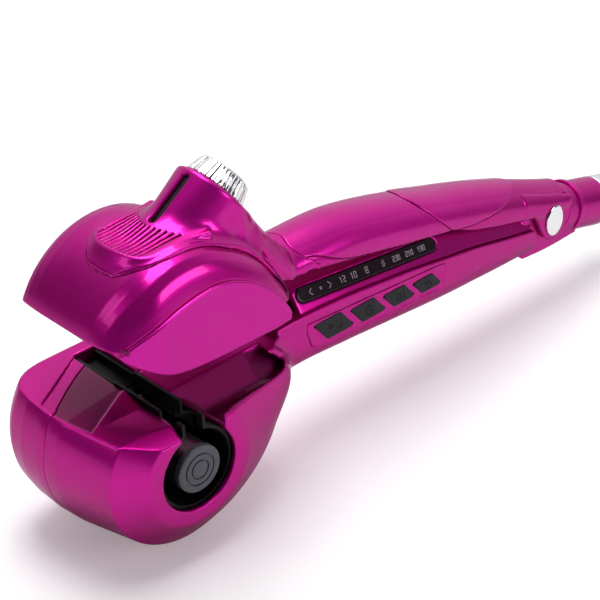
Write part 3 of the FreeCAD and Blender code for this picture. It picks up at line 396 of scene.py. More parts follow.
def metal(name, c0, c1, rough, stretch=(1.0, 1.0, 1.0), strength=0.05):
    m, nt, b = new_mat(name)
    v = tex_coord(nt, stretch)
    n1 = noise(nt, v, 700.0, 2.0)
    nt.links.new(ramp(nt, n1, [(0.3, c0), (0.7, c1)]), b.inputs["Base Color"])
    nt.links.new(span(nt, n1, max(rough - 0.03, 0.01), rough + 0.03), b.inputs["Roughness"])
    b.inputs["Metallic"].default_value = 1.0
    if strength > 0:
        bump(nt, b, n1, strength, 0.00005)
    return m


M_SHELL = paint("shell_paint", (0.25, 0.0008, 0.10), (0.56, 0.002, 0.245), (0.82, 0.006, 0.40))
M_TANK = paint("tank_paint", (0.27, 0.0008, 0.11), (0.60, 0.002, 0.27), (0.86, 0.008, 0.44))
M_COVER = paint("cover_paint", (0.27, 0.0008, 0.11), (0.60, 0.003, 0.27), (0.86, 0.010, 0.44), 0.5, 0.28)
M_CHEEK = paint("cheek_paint", (0.30, 0.001, 0.13), (0.62, 0.003, 0.30), (0.88, 0.010, 0.48))
# darker copy of the shell paint: painted shade for the trough, the deck recess and the jaw floor plate
M_PAINTED_SHADE = paint("recess_painted_shade", (0.10, 0.0004, 0.035), (0.22, 0.0008, 0.085), (0.30, 0.002, 0.12), 0.4, 0.34)
M_BLACK = plastic("black_heat_plastic", (0.0025, 0.0025, 0.003), (0.005, 0.005, 0.0055), 0.5, 1200.0, 0.12, 0.22)
M_CAPGREY = plastic("grey_cap_plastic", (0.072, 0.074, 0.092), (0.090, 0.092, 0.112), 0.38, 1400.0, 0.08, metallic=0.25)
M_ALU = metal("aluminium", (0.62, 0.62, 0.64), (0.72, 0.72, 0.74), 0.30, (1.0, 12.0, 1.0))
M_STEEL = metal("zinc_steel", (0.45, 0.45, 0.47), (0.58, 0.58, 0.60), 0.33, (10.0, 1.0, 1.0))
M_CHROME = metal("chrome", (0.86, 0.86, 0.88), (0.92, 0.92, 0.94), 0.06, (1.0, 1.0, 1.0), 0.01)
M_SILVER = metal("satin_chrome", (0.70, 0.70, 0.72), (0.80, 0.80, 0.82), 0.20, (1.0, 1.0, 1.0), 0.02)
M_RUBBER = plastic("key_rubber", (0.014, 0.013, 0.018), (0.021, 0.019, 0.026), 0.62, 1800.0, 0.25, 0.3)
M_ICON = plastic("key_icon", (0.004, 0.004, 0.005), (0.007, 0.007, 0.008), 0.5, 1500.0, 0.1)
M_CORD = plastic("cord_rubber", (0.008, 0.008, 0.009), (0.014, 0.014, 0.015), 0.55, 900.0, 0.2)
M_WHITE = plastic("natural_acetal", (0.62, 0.62, 0.59), (0.70, 0.70, 0.67), 0.45, 800.0, 0.1)
M_GASKET = plastic("silicone", (0.42, 0.42, 0.42), (0.50, 0.50, 0.50), 0.6, 700.0, 0.1)
M_BOARD = plastic("solder_mask", (0.008, 0.060, 0.018), (0.014, 0.085, 0.028), 0.35, 500.0, 0.15)
M_LENS = plastic("smoked_lens", (0.012, 0.004, 0.009), (0.020, 0.007, 0.016), 0.16, 500.0, 0.03, 0.35, coat=0.35)
M_MARK = plastic("backlit_marks", (0.42, 0.34, 0.40), (0.58, 0.48, 0.55), 0.5, 500.0, 0.05)

# ------------------------------------------------------------------ the forms
MY = -5.0
HX, HZ = 222.0, 3.6
TILT = math.radians(6.8)
RF = Table([(-41.5, 21.9), (-40.8, 22.6), (-32.0, 34.4), (-16.5, 37.3), (-6.0, 39.2), (4.0, 39.95), (14.0, 39.7),
            (22.0, 38.6), (31.0, 36.2)])
RFS = Table([(-41.5, 22.0), (-40.8, 22.6), (-36.0, 30.0), (-30.0, 34.8), (-16.5, 37.3), (-6.0, 39.2), (4.0, 39.95),
             (14.0, 39.7), (22.0, 38.6), (31.0, 36.2)], 1.2)
RR = Table([(-41.5, 21.6), (-40.8, 22.6), (-38.5, 28.5), (-36.0, 34.5), (-32.0, 43.5), (-28.0, 50.0), (-24.0, 54.6),
            (-16.5, 59.2), (-8.0, 61.0), (0.0, 61.4), (10.0, 61.4), (20.0, 60.0), (31.0, 55.0)], 1.0)


DRR = Table([(-41.5, 0), (-36.5, 0.0), (-34.0, 3.0), (-31.0, 7.0), (-28.5, 9.0), (-24.0, 7.0), (-18.0, 3.0), (-10.0, 0.0)], 1.5)


def head_fn(x, y, z):
    back = sstep(-2.0, 26.0, x)
    rz = RF(y) * (1 - back) + RFS(y) * back
    rx = np.where(x < 0, RF(y), RR(y) + DRR(y) * sstep(-12.0, 12.0, z))
    rho = np.sqrt((x / rx) ** 2 + (z / rz) ** 2) + 1e-9
    grad = np.sqrt((x / rx ** 2) ** 2 + (z / rz ** 2) ** 2) / rho + 1e-9
    slope = (RF(y + 0.3) - RF(y - 0.3)) / 0.6
    slope_b = (RR(y + 0.3) - RR(y - 0.3)) / 0.6
    s = slope * (1 - back) + slope_b * back
    f = (rho - 1.0) / grad / np.sqrt(1.0 + s * s)
    f = smax(f, -40.74 - y, 0.9)
    return smax(f, y - 30.94, 11.0)


LW = Table([(30, 15.0), (150, 15.0), (180, 13.8), (206, 12.6), (240, 12.0)], 5.0)
LC = Table([(44, 22.8), (66, 23.4), (80, 23.2), (96.5, 22.2), (128, 18.8), (143, 16.7), (171, 12.0), (198, 5.8),
            (210, 3.4)], 4.0)
LB = Table([(44, -3.0), (75, -2.2), (100, -3.8), (130, -6.0), (160, -8.2), (190, -10.2), (210, -11.2), (240, -12.4)], 4.0)


def low_handle(x, y, z, ins=0.0):
    a = np.abs(y - MY)
    w, zc, zb = LW(x) - ins, LC(x) - ins, LB(x) + ins
    side = smax(a - w, zb - z, 13.0)
    lower = smax(side, z - zc, 0.7)
    # gentle crown on the flat side wall
    shoulder = smax((a - (w - 2.4)) * 0.839 + (z - zc - 0.2) * 0.545, a - (w - 2.2), 0.5)
    shoulder = smax(shoulder, z - zc - 8.3, 1.6)
    shoulder = smax(smax(shoulder, zc - 4 - z, 0.3), 71.5 - x, 0.6)
    f = np.minimum(lower, shoulder)
    return f


def x_limits(f, x, x0, x1, k=0.6):
    return smax(smax(f, x0 - x, k), x - x1, k)


TAIL_T = math.radians(14.0)
TD = np.array([math.cos(TAIL_T), 0.0, -math.sin(TAIL_T)])
TS = np.array([236.5, MY, -0.6])
TE = np.array([261.0, MY, -0.6 - 24.5 * math.tan(TAIL_T)])


def cyl_fn(x, y, z, p, d, r, l0, l1, k=0.5):
    """Round bar of radius r about the line p + t d, for t from l0 to l1."""
    px, py, pz = x - p[0], y - p[1], z - p[2]
    t = px * d[0] + py * d[1] + pz * d[2]
    rr = np.sqrt(np.maximum(px * px + py * py + pz * pz - t * t, 0))
    f = smax(rr - r, t - l1, k)
    return smax(f, l0 - t, k)


KN = Poly2([(205.5, -10.6), (205.5, 10.2), (211, 11.0), (216, 10.4), (228, 9.6), (238.0, 8.6), (241.5, -11.4),
            (225, -11.9), (214, -11.4)])
KHALF = 12.6 - 3.2 - 0.4
TROUGH = Poly2([(-17.4, 40), (-17.4, 20.0), (-25.4, 10.4), (-27.0, 9.6), (-60.0, 9.6), (-60.0, 40)], 30)
SLOT = Poly2([(-5, 25), (-5, -30), (-6.0, -36), (-8.2, -46), (15.5, -46), (12.0, -37), (5.5, -17.0), (5.5, 25)], 30)


def trough_fn(x, y, z):
    """Open trough beside the chamber that takes the near cheek."""
    t = smax(TROUGH(y, z + 0.26 * np.maximum(x - 42.0, 0)), 3.0 - x, 0.5)
    return smax(t, (x - 61.0 + 0.7 * np.maximum(-18.7 - y, 0)) * 0.85, 1.2)


def deck_z(x, y):
    return 20.75 + 0.03 * y - 0.33 * np.maximum(-32.0 - y, 0)


def facet_top(x, y):
    """Height of the chamfered near corner of the deck, left of the slot."""
    s = (x + 4.2) * 0.484 - (y + 4.9) * 0.875
    q = -(x + 4.2) * 0.875 - (y + 4.9) * 0.484
    reach = np.maximum(10.0 * (27.9 - q) / 21.4, 0.05)
    r = np.clip(s / reach, 0.0, 1.0)
    low = 18.45 - 0.085 * (x + 5.0) - 0.03 * (y + 16.8) - 0.30 * np.maximum(-36.0 - y, 0)
    dz = deck_z(x, y)
    return dz + (np.minimum(low, dz) - dz) * r, s


SEAMY = Table([(-60, -0.2), (-33, 0.0), (-31, 1.2), (-29.7, 2.6), (-21, 8.8), (-12.8, 14.0), (-5, 18.2), (1.2, 21.2), (12, 24)], 0.8)


def parting(x, y, z):
    """Less than zero on the near half's side of the parting line."""
    ledge = np.maximum(np.maximum(16.6 - z, (y - SEAMY(x)) * 0.8), x - 5.3)
    return np.minimum(y, ledge)



def lower_outer(x, y, z):
    hd = head_fn(x, y, z)
    hd = smax(hd, z - (20.75 + 0.03 * y - 0.33 * np.maximum(-32.0 - y, 0)), 0.7)
    han = x_limits(low_handle(x, y, z), x, 57.6, 209.5, 0.5)
    neck = smax(smax(low_handle(x, y, z), z - LC(x), 0.6), 30 - x, 1.0)
    neck = smax(neck, x - 209, 0.6)
    neck = smax(neck, z - (20.75 + 0.03 * y) - np.clip((x - 57.6) * 3, 0, 40), 0.6)
    f = smin(hd, neck, 7.0)
    # keep the deck flat where head and neck were blended
    f = smax(f, z - (20.75 + 0.03 * y - 0.33 * np.maximum(-32.0 - y, 0)) - np.clip((x - 57.6) * 3, 0, 40), 0.6)
    f = np.minimum(f, han)
    kn = smax(KN(x, z), np.abs(y - MY) - KHALF, 0.8)
    tail = cyl_fn(x, y, z, TS, TD, 11.3, -3.0, np.linalg.norm(TE - TS), 0.5)
    return np.minimum(f, smin(kn, tail, 2.0))


def lower_fn(x, y, z):
    f = lower_outer(x, y, z)
    # hollow
    hd = head_fn(x, y, z)
    left = sstep(2.0, -2.0, x)
    cav = smax(hd + 2.2, z - 18.4 + 2.4 * left * sstep(4.0, -3.0, y), 0.6)
    cav = smax(cav, -(trough_fn(x, y, z) - 1.8), 0.5)
    cav = smax(cav, -(SLOT(x, y) - 1.8) * (z > 10) - 50.0 * (z <= 10), 0.5)
    hc = x_limits(low_handle(x, y, z, 2.2), x, 64, 206, 0.5)
    f = smax(f, -np.minimum(cav, hc), 0.4)
    # trough for the near cheek, open over the drum's sloping rim
    rim = smax(smax(19.7 - 0.14 * x - z, y + 24.0, 1.5), 4.0 - x, 0.6)
    rim = smax(rim, x - 60.0 + 0.7 * np.maximum(-18.7 - y, 0), 0.8)
    tr = smax(trough_fn(x, y, z), hd + 1.35, 0.4)
    tr = smax(tr, 18.6 - np.sqrt(x * x + z * z), 0.5)
    f = smax(f, -np.minimum(tr, rim), 0.7)
    # deck left of the slot: shallow glossy recess and the chamfered corner
    ft, fs = facet_top(x, y)
    f = np.where(x < 0, smax(f, (z - ft) * 0.97, 0.35), f)
    yde = 9.4 + 0.605 * (x + 30.2)
    rec = np.maximum(np.maximum(deck_z(x, y) - 0.95 - z, (y - yde) * 0.855), np.maximum(x + 4.9, hd + 1.6))
    f = smax(f, -smax(rec, fs + 0.9, 0.4), 0.45)
    sl = smax(SLOT(x, y), -z, 0.5)
    f = smax(f, -sl, 0.8)
    bore = smax(np.sqrt(x * x + z * z) - 16.8, y - 2.0, 0.3)
    f = smax(f, -bore, 0.7)
    # hinge pin and spring room
    r = np.sqrt((x - HX) ** 2 + (z - HZ) ** 2)
    f = smax(f, -(r - 2.1), 0.2)
    f = smax(f, -smax(r - 6.2, np.abs(y - MY) - 4.5, 0.3), 0.3)
    # button panel recess and window seat
    f = smax(f, -np.maximum(PLATE(x, z), y - (MY - 15.0 + 0.62)), 0.25)
    f = smax(f, -np.maximum(BTN_HOLES(x, z), y - (MY - 15.0 + 4.0)), 0.25)
    f = smax(f, -window_fn(x, y, z, 0.2, -1.5, 4.0), 0.25)
    # swivel socket
    f = smax(f, -cyl_fn(x, y, z, TE, TD, 6.1, -13.0, 4.0, 0.2), 0.3)
    return f


PLATE = Poly2([(72.9, 19.0), (72.6, 15.0), (75.0, 7.9), (77.5, 6.6), (146.0, 3.0), (148.6, 4.1), (150.6, 12.2), (149.4, 14.2)], 12)
BUTTONS = [("button_direction", 86.8, 12.6, 14.4, 9.6, 3.8, "key_direction"),
           ("button_timer", 105.5, 11.4, 13.2, 8.8, 3.5, "key_timer"),
           ("button_steam", 122.9, 10.2, 12.2, 8.0, 3.3, "key_steam"),
           ("button_power", 139.1, 9.0, 11.4, 7.2, 3.0, "key_power")]


def slanted(cx, cz, wide, high, slant, grow):
    hw, hh = wide / 2 + grow, high / 2 + grow
    return [(cx - hw - slant, cz + hh), (cx + hw - slant, cz + hh), (cx + hw + slant, cz - hh), (cx - hw + slant, cz - hh)]


_bt = [Poly2(slanted(b[1], b[2], b[3], b[4], b[5], -1.0), 14, 0.25) for b in BUTTONS]


def BTN_HOLES(x, z):
    d = _bt[0](x, z)
    for p in _bt[1:]:
        d = np.minimum(d, p(x, z))
    return d - 1.45


def shoulder_pt(x, f):
    w = float(np.interp(x, [44, 60, 150, 180], [14.0, 15.0, 15.0, 13.8]))
    zc = float(np.interp(x, [44, 66, 80, 96.5, 128, 143, 171], [22.8, 23.4, 23.2, 22.4, 18.8, 16.7, 12.1]))
    return np.array([x, MY - (w - 2.6) + 5.0 * f, zc + 0.3 + 7.7 * f])


WA, WB = shoulder_pt(76.2, 0.66), shoulder_pt(147.3, 0.66)
WD = (WB - WA) / np.linalg.norm(WB - WA)
WSL = np.array([0, 5.0, 7.7]) / np.hypot(5.0, 7.7)
WN = np.cross(WD, WSL)
WN = WN / np.linalg.norm(WN)
if WN[1] > 0:
    WN = -WN
WU = np.cross(WN, WD)
if WU[2] < 0:
    WU = -WU


def window_fn(x, y, z, grow, low, high, k=0.25):
    px, py, pz = x - WA[0], y - WA[1], z - WA[2]
    s = px * WD[0] + py * WD[1] + pz * WD[2]
    t = px * WU[0] + py * WU[1] + pz * WU[2]
    n = px * WN[0] + py * WN[1] + pz * WN[2]
    L = np.linalg.norm(WB - WA)
    r = np.sqrt((s - np.clip(s, 0, L)) ** 2 + t * t) - 3.1 - grow
    return smax(smax(r, n - high, k), low - n, k)


# ----------------------------------------------------------------- upper jaw
DX, DZ, DR = 11.1, 42.8, 36.5
_full = [(DX + DR * math.cos(math.radians(a)), DZ + DR * math.sin(math.radians(a))) for a in range(176, 50, -6)]
_full += [(38.5, 68.6), (44.0, 64.2), (49.0, 59.0), (53.5, 53.0), (57.0, 47.5), (59.5, 42.0), (60.5, 34.0)]
_cheek = [(-27.5, 40.0), (-24.5, 47.0), (-20.6, 52.2), (-16.6, 55.4), (-12.7, 57.8), (-5.8, 60.8), (1.1, 63.3), (8.0, 64.9),
          (14.0, 65.8), (19.5, 66.0), (26.3, 64.8), (33.2, 61.8), (39.1, 57.9), (44.7, 53.0), (49.2, 47.6), (52.4, 43.0),
          (54.6, 38.0), (55.6, 30.0)]
FULLP = Poly2(list(catmull(_full, False, 4)) + [(60.5, 20), (-27, 20)], 30)
CHEEKP = Poly2(list(catmull(_cheek, False, 4)) + [(55.6, 20), (-27.5, 20)], 30)
FY = Table([(-33.2, -0.10), (-32.3, 0.0), (-31.5, 0.25), (-30.6, 0.43), (-29.2, 0.62), (-26.5, 0.82), (-23.0, 0.94), (-19.0, 1.0),
            (13.0, 1.0), (19.0, 0.97), (23.5, 0.89), (26.4, 0.76), (28.2, 0.58), (28.8, 0.42)], 0.35)


def under_z(x):
    return 52.8 - (x + 23.9) * math.tan(TILT)


def dome_fn(x, y, z, ins=0.0):
    # the near front corner turns inwards
    yy = y - 5.6 * np.clip((-3.0 - x) / 17.0, 0, 1.6) ** 2 * sstep(2.0, -20.0, y)
    f = FY(yy)
    d = CHEEKP(x, z) * (1 - f) + FULLP(x, z) * f
    d = d + ins
    d = smax(d, (-32.3 + ins) - yy, 0.3)
    d = smax(d, y - (28.6 - ins), 3.0)
    return d


UZ = Table([(30, 46.0), (46, 44.9), (57, 44.0), (70, 42.2), (85, 39.9), (98, 37.5), (109, 35.2), (124, 32.2), (147, 28.0),
            (156, 26.6), (169, 20.9), (184, 16.4), (203, 11.4), (213, 9.2), (222, 8.0), (240, 5.6)], 2.5)
UT = Table([(30, 66.0), (46, 63.0), (54, 57.0), (62, 53.0), (70, 52.4), (85, 53.0), (98, 53.0), (109, 51.6), (124, 48.5), (147, 42.8),
            (156, 40.1), (169, 36.8), (184, 32.6), (203, 26.6), (213, 22.9), (222, 19.4), (234, 15.0), (240, 13.4)], 4.5)
UW = Table([(30, 15.0), (57, 15.0), (70, 15.2), (147, 15.2), (169, 14.6), (184, 14.0), (203, 13.1), (213, 12.6),
            (240, 12.4)], 4.0)


def up_handle(x, y, z, ins=0.0, open_under=False):
    a = np.abs(y - MY)
    w, zu, zt = UW(x) - ins, UZ(x), UT(x) - ins
    # crowned sides: widest a third of the way up
    hgt = np.maximum(zt - zu, 4.0)
    u = np.clip((z - zu) / hgt, -0.5, 1.5)
    bulge = 0.9 * np.clip(1 - ((u - 0.32) / 0.45) ** 2, 0, 1)
    f = smax(a - w - bulge + 0.9, z - zt, 15.0)
    sl = 0.28
    f = f / math.sqrt(1 + sl * sl)
    if open_under:
        return f
    return smax(f, zu - z, 0.5)


RIM = np.array([42.9, MY, 84.4])
KT = math.radians(36.0)
KA = np.array([math.cos(KT), 0, math.sin(KT)])
KV = np.array([-math.sin(KT), 0, math.cos(KT)])
VF = Table([(-60, 17.6), (-40, 16.4), (-28, 15.6), (-12, 15.3), (0, 15.1), (20, 14.6)], 1.5)
VR = Table([(-40, -40.0), (-20, -28.0), (-10, -21.0), (-4, -17.0), (0, -15.2), (20, -13.5)], 0.8)


def tower_fn(x, y, z, ins=0.0):
    px, py, pz = x - RIM[0], y - RIM[1], z - RIM[2]
    u = px * KA[0] + pz * KA[2]
    v = px * KV[0] + pz * KV[2]
    vf, vr = VF(u) - ins, VR(u) + ins
    c, a = (vf + vr) / 2, (vf - vr) / 2
    b = 15.1 - ins
    k0 = np.sqrt(((v - c) / a) ** 2 + (py / b) ** 2) + 1e-9
    k1 = np.sqrt(((v - c) / a ** 2) ** 2 + (py / b ** 2) ** 2) + 1e-9
    f = k0 * (k0 - 1.0) / k1 * 0.96
    f = smax(f, 78.6 - z - 1.5 * np.maximum(x - 19.0, 0), 1.0)
    return smax(f, u + ins, 1.9 if ins == 0 else 0.6)


_pd = [(34.0, -14.9), (17.0, -15.1), (10.0, -15.4), (4.5, -15.6), (0.9, -14.9), (-1.9, -12.8), (-3.7, -9.8), (-4.7, -5.5), (-5.2, 0.0),
       (-5.0, 5.0), (-4.0, 9.2), (-1.6, 12.6), (2.0, 14.4), (7.0, 15.0), (14.0, 15.1), (34.0, 15.1)]
PADP = Poly2([(px, MY + py) for px, py in catmull(_pd, True, 5)], 24, 0.4)


def pad_top(x):
    return 79.9 + 0.0 * x


# Front edge of the covers against the distance from the middle plane.
FRONTE = Table([(0, 73.9), (3, 73.2), (6, 72.2), (9, 72.4), (11, 73.4), (13, 76.0), (14.2, 79.4), (14.9, 82.5), (15.4, 85.5),
                (17.0, 95)], 0.35)
SADE = Table([(-14, 3.0), (-8.0, 9.0), (-5.0, 13.0), (-1.5, 16.4), (5.7, 18.6), (14.6, 18.9), (27.0, 18.9), (33, 18.4), (40, 17.4), (45, 17.6),
              (50, 22.0), (56, 30.0), (90, 40.0)], 1.6)
SPT = Table([(30, 90.0), (44, 80.4), (50.5, 74.9), (53.9, 71.6), (57, 66.9), (60.5, 61.9), (64, 57.6), (68, 54.3), (73, 53.0),
             (90, 53.0)], 1.2)


def neck_under(x, y, z):
    """What the tank's foot stands on: the dome and the handle's neck."""
    return smin(dome_fn(x, y, z), smax(up_handle(x, y, z), 42 - x, 1.0), 5.0)


def tank_fn(x, y, z):
    tw = tower_fn(x, y, z)
    # spine behind the tower that runs down to the handle
    a = np.abs(y - MY)
    zt = SPT(x)
    slope = (SPT(x + 0.4) - SPT(x - 0.4)) / 0.8
    spine = smax(a - 14.9, (z - zt) / np.sqrt(1 + slope * slope), 9.0)
    spine = x_limits(spine, x, 44, 80, 2.0) + 3.0 * sstep(65.0, 73.0, x)
    spine = smax(spine, 62 - z - np.maximum(x - 52, 0) * 1.4, 2.0)
    sad = neck_under(x, y, z) - 1.15 + 1.0 * sstep(52.0, 62.0, x)
    sad = smax(sad, a - SADE(x), 0.5)
    sad = smax(sad, (UZ(x) + 0.05) - z, 0.4)
    sad = x_limits(sad, x, -9.6, 90, 0.6)
    f = smin(tw, spine, 5.0)
    f = smin(f, sad, 6.5 - 5.7 * sstep(58.0, 71.0, x))
    f = smax(f, x - (FRONTE(a) - 0.22), 0.35)
    flare = 0.72 - 0.62 * sstep(12.0, 25.0, x)
    padf = smax(smax((PADP(x, y) - flare * (79.9 - z)) / 1.2, z - pad_top(x), 0.8), 62 - z, 0.5)
    padf = smax(padf, x - 29 + 1.2 * np.maximum(79.9 - z, 0) * 0.3, 2.0)
    f = smin(f, padf, 0.9)
    return f


# ------------------------------------------------------------- side outlines
REAR_END = Poly2([(-60, 70), (-60, 8.0), (184.0, 8.0), (196, 12.6), (205.0, 10.9), (209.5, 9.6), (212.2, 6.2), (214.4, 1.2), (217.0, -3.4),
                  (220.6, -6.1), (224.6, -6.2), (229.0, -4.2), (232.6, 0.0), (234.8, 5.2), (235.6, 10.0), (235.4, 13.6),
                  (234.6, 70)], 14)
EAR_IN = 12.6 - 3.2


def seam_plane(x, z):
    return (x - 136.0) - 0.971 * (46.0 - z)


LEAFZ = Table([(136, 29.0), (150, 28.0), (160, 25.6), (170, 24.2), (182, 23.5), (192, 23.9), (200, 25.0), (210, 27.5)], 3.0)


LOWC = Table([(60, 47.3), (77.8, 46.9), (82, 45.6), (87, 43.0), (92, 40.6), (97, 38.7), (104, 37.0), (109, 36.0), (124, 32.9),
              (147, 28.6), (156, 27.0), (170, 22.0)], 1.0)


def cover_front_region(x, y, z):
    a = np.abs(y - MY)
    d = np.maximum(seam_plane(x, z) * 0.72, FRONTE(a) - x)
    return smax(d, LOWC(x) - z, 0.5)


def cover_rear_region(x, y, z):
    d = smax(-seam_plane(x, z) * 0.72, (LEAFZ(x) - z), 1.5)
    return d


def upper_outer(x, y, z, ins=0.0):
    d = smax(dome_fn(x, y, z, ins), (under_z(x) - z) if ins == 0 else (under_z(x) - 4 - z), 0.7)
    h = smax(up_handle(x, y, z, ins), 42.0 + ins - x, 1.0)
    h = smax(h, smax(REAR_END(x, z) + ins, 0 * x - 50, 0.1), 1.4)
    h = np.where(x < 196, smax(h, (UZ(x) - z) if ins == 0 else (UZ(x) - 5 - z), 0.6), h)
    return smin(d, h, 5.0)


def upper_fn(x, y, z):
    o = upper_outer(x, y, z)
    a = np.abs(y - MY)
    # ears: flat discs either side of the knuckle
    ear = smax(smax(REAR_END(x, z), a - 12.75, 1.2), 203.0 - x, 1.0)
    ear = smax(ear, up_handle(x, y, z, 0.0, True) - 0.2, 0.8)
    o = smin(o, smax(ear, EAR_IN - a, 0.4), 0.8)
    # the handle's side skin stops at the lower edge ahead of the ears
    hollow = np.maximum(dome_fn(x, y, z, 2.1), np.maximum(dome_fn(x, y - 2.4, z, 1.2), dome_fn(x, y + 2.4, z, 1.2)))
    inner = np.minimum(smax(smax(hollow, 30 - z, 0.5), x - 54.5, 2.0),
                       x_limits(up_handle(x, y, z, 2.1, True), x, 52.0, 204.0, 1.0))
    f = smax(o, -inner, 0.35)
    f = smax(f, -smax(KNR(x, z), a - (EAR_IN - 0.0), 0.3), 0.3)
    r = np.sqrt((x - HX) ** 2 + (z - HZ) ** 2)
    f = smax(f, -(r - 2.1), 0.2)
    f = smax(f, -smax(np.sqrt((x - 34) ** 2 + (y - MY) ** 2) - 3.0, 60 - z, 0.3), 0.3)
    # seats for the two covers
    seat = np.minimum(cover_front_region(x, y, z), cover_rear_region(x, y, z)) - 0.10
    f = smax(f, -smax(seat, -(upper_outer(x, y, z) + 1.35), 0.25), 0.3)
    # the neck is let in for the tank's foot
    foot = smax(x - (FRONTE(a) + 0.05), (UZ(x) + 0.2) - z, 0.3)
    foot = smax(foot, -(neck_under(x, y, z) + 1.18 * sstep(52.0, 62.0, x)), 0.25)
    f = smax(f, -smax(foot, 50.0 - x, 0.5), 0.3)
    return f


KNR = Poly2([(198.0, -24), (198.0, 4.0), (198.5, 14.6), (206, 15.0), (212, 14.6), (222, 13.3), (234.0, 10.9), (252, 9.0), (252, -24)], 14)


def front_cover_fn(x, y, z):
    o = up_handle(x, y, z, 0.0, True) - 0.15
    f = smax(o, -(o + 1.2), 0.2)
    return smax(f, cover_front_region(x, y, z), 0.55)


def rear_cover_fn(x, y, z):
    o = up_handle(x, y, z, 0.0, True) - 0.40
    f = smax(o, -(o + 1.5), 0.2)
    return smax(smax(f, cover_rear_region(x, y, z), 0.9), x - 214, 0.5)


_cn = [(-20.2, 50.4)] + [p for p in _cheek if p[1] > 43.5][1:] + [(53.4, 41.0), (53.5, 38.2), (52.6, 36.7), (43.6, 36.1),
       (22.0, 36.2), (10.0, 36.7), (1.0, 37.8), (-5.6, 39.9), (-12.4, 43.8), (-18.6, 48.3)]
CHEEK_OUT = Poly2(list(catmull(_cn, True, 3)), 20, 0.4)


def cheek_near_fn(x, y, z):
    yy = y - 5.6 * np.clip((-3.0 - x) / 17.0, 0, 1.6) ** 2
    f = smax(CHEEK_OUT(x, z) + 0.12, -33.9 - yy, 1.0)
    return smax(f, yy + 32.35, 0.2)


_cf = [(c + (a - c) * 0.60, d + (b - d) * 0.60) for (a, b), (c, d) in
       zip([_full[int(round(i * (len(_full) - 4) / 11.0))] for i in range(12)],
           [_cheek[1 + int(round(i * (len(_cheek) - 3) / 11.0))] for i in range(12)])]
_cf = [(x, z) for x, z in _cf if z > under_z(x) + 1.0]
_cf = [(_cf[0][0] - 0.6, under_z(_cf[0][0]) + 0.3)] + _cf + [(_cf[-1][0], under_z(_cf[-1][0]) + 0.3)]
CHEEK_FAR = Poly2(_cf, 20, 0.4)


def cheek_far_fn(x, y, z):
    f = smax(CHEEK_FAR(x, z) + 1.6, y - 29.9, 1.1)
    return smax(f, 28.68 - y, 0.2)


# --------------------------------------------------------------------- tank
S_LO, S_HI = np.array([14.3, MY, 84.9]), np.array([30.3, MY, 94.2])
S_D = (S_HI - S_LO) / np.linalg.norm(S_HI - S_LO)


def slot_win(x, y, z, r):
    px, py, pz = x - S_LO[0], y - S_LO[1], z - S_LO[2]
    s = px * S_D[0] + pz * S_D[2]
    t = np.clip(s, 0, np.linalg.norm(S_HI - S_LO))
    n = px * -S_D[2] + pz * S_D[0]
    rr = np.sqrt((s - t) ** 2 + py * py) - r
    return smax(rr, np.abs(n) - 7.0, 0.3)


def grooves(x, y, z):
    p = np.abs(((y - MY + 1.0) % 2.0) - 1.0)
    i = np.round((y - MY) / 2.0)
    x1 = 11.6 + 0.30 * np.abs(i) ** 1.7
    f = p - 0.46
    f = smax(f, x - np.minimum(x1, 26.0), 0.5)
    f = smax(f, PADP(x, y) + 1.0, 0.4)
    f = smax(f, pad_top(x) - 0.75 - z, 0.2)
    return np.where(np.abs(i) <= 6, f, 1.0)


def tank_piece_fn(x, y, z):
    o = tank_fn(x, y, z)
    f = o
    # foot follows the dome and the recessed neck below it
    low = neck_under(x, y, z) + 1.15 * sstep(52.0, 62.0, x)
    f = smax(f, -(low - 0.05), 0.15)
    hollow = smax(smax(tower_fn(x, y, z, 2.2), 64 - z, 0.5), 2.0 - neck_under(x, y, z), 0.5)
    neck = cyl_fn(x, y, z, RIM, KA, 9.1, -12, 4, 0.2)
    f = smax(f, -np.minimum(hollow, neck), 0.3)
    f = smax(f, -slot_win(x, y, z, 1.75), 0.9)
    f = smax(f, -grooves(x, y, z), 0.25)
    return f


def level_fn(x, y, z):
    f = smax(slot_win(x, y, z, 1.95), tower_fn(x, y, z) + 1.5, 0.2)
    return smax(f, -(tower_fn(x, y, z) + 2.3), 0.2)

# ------------------------------------------------------------------- pieces
H = 0.72
HF = 0.55


def near_fn(x, y, z):
    return smax(lower_fn(x, y, z), parting(x, y, z) + 0.13, 0.4)


def far_fn(x, y, z):
    return smax(lower_fn(x, y, z), 0.13 - parting(x, y, z), 0.4)


near_ob = sdf_piece("lower_shell_near", near_fn, (-42, -42, -42), (266, 25.5, 34), H, "lower_body", M_SHELL, ["lower_body_near_half"])
sdf_piece("lower_shell_far", far_fn, (-42, -1.5, -42), (266, 33, 34), H, "lower_body", M_SHELL, ["lower_body_far_half"])
# painted shade: the trough's walls and the deck recess get a darker copy of the shell paint, standing in for the shade
# and dark reflections there
near_ob.data.materials.append(M_PAINTED_SHADE)
cen = np.empty(len(near_ob.data.polygons) * 3, np.float32)
near_ob.data.polygons.foreach_get("center", cen)
cx_, cy_, cz_ = (cen.reshape(-1, 3) / MM).T.astype(float)
ft_, fs_ = facet_top(cx_, cy_)
painted_shade_mask = (trough_fn(cx_, cy_, cz_) < 0.25) & (head_fn(cx_, cy_, cz_) < -1.0) & (cy_ < -17.6)
painted_shade_mask |= (cx_ < -4.9) & (fs_ < -0.7) & (cz_ > 17.5) & (cz_ < deck_z(cx_, cy_) - 0.35) & (head_fn(cx_, cy_, cz_) < -1.4)
near_ob.data.polygons.foreach_set("material_index", painted_shade_mask.astype(np.int32))
sdf_piece("jaw_shell", upper_fn, (-28, -35, -9), (238, 31, 81), H, "upper_jaw", M_SHELL, ["upper_jaw_shell"])
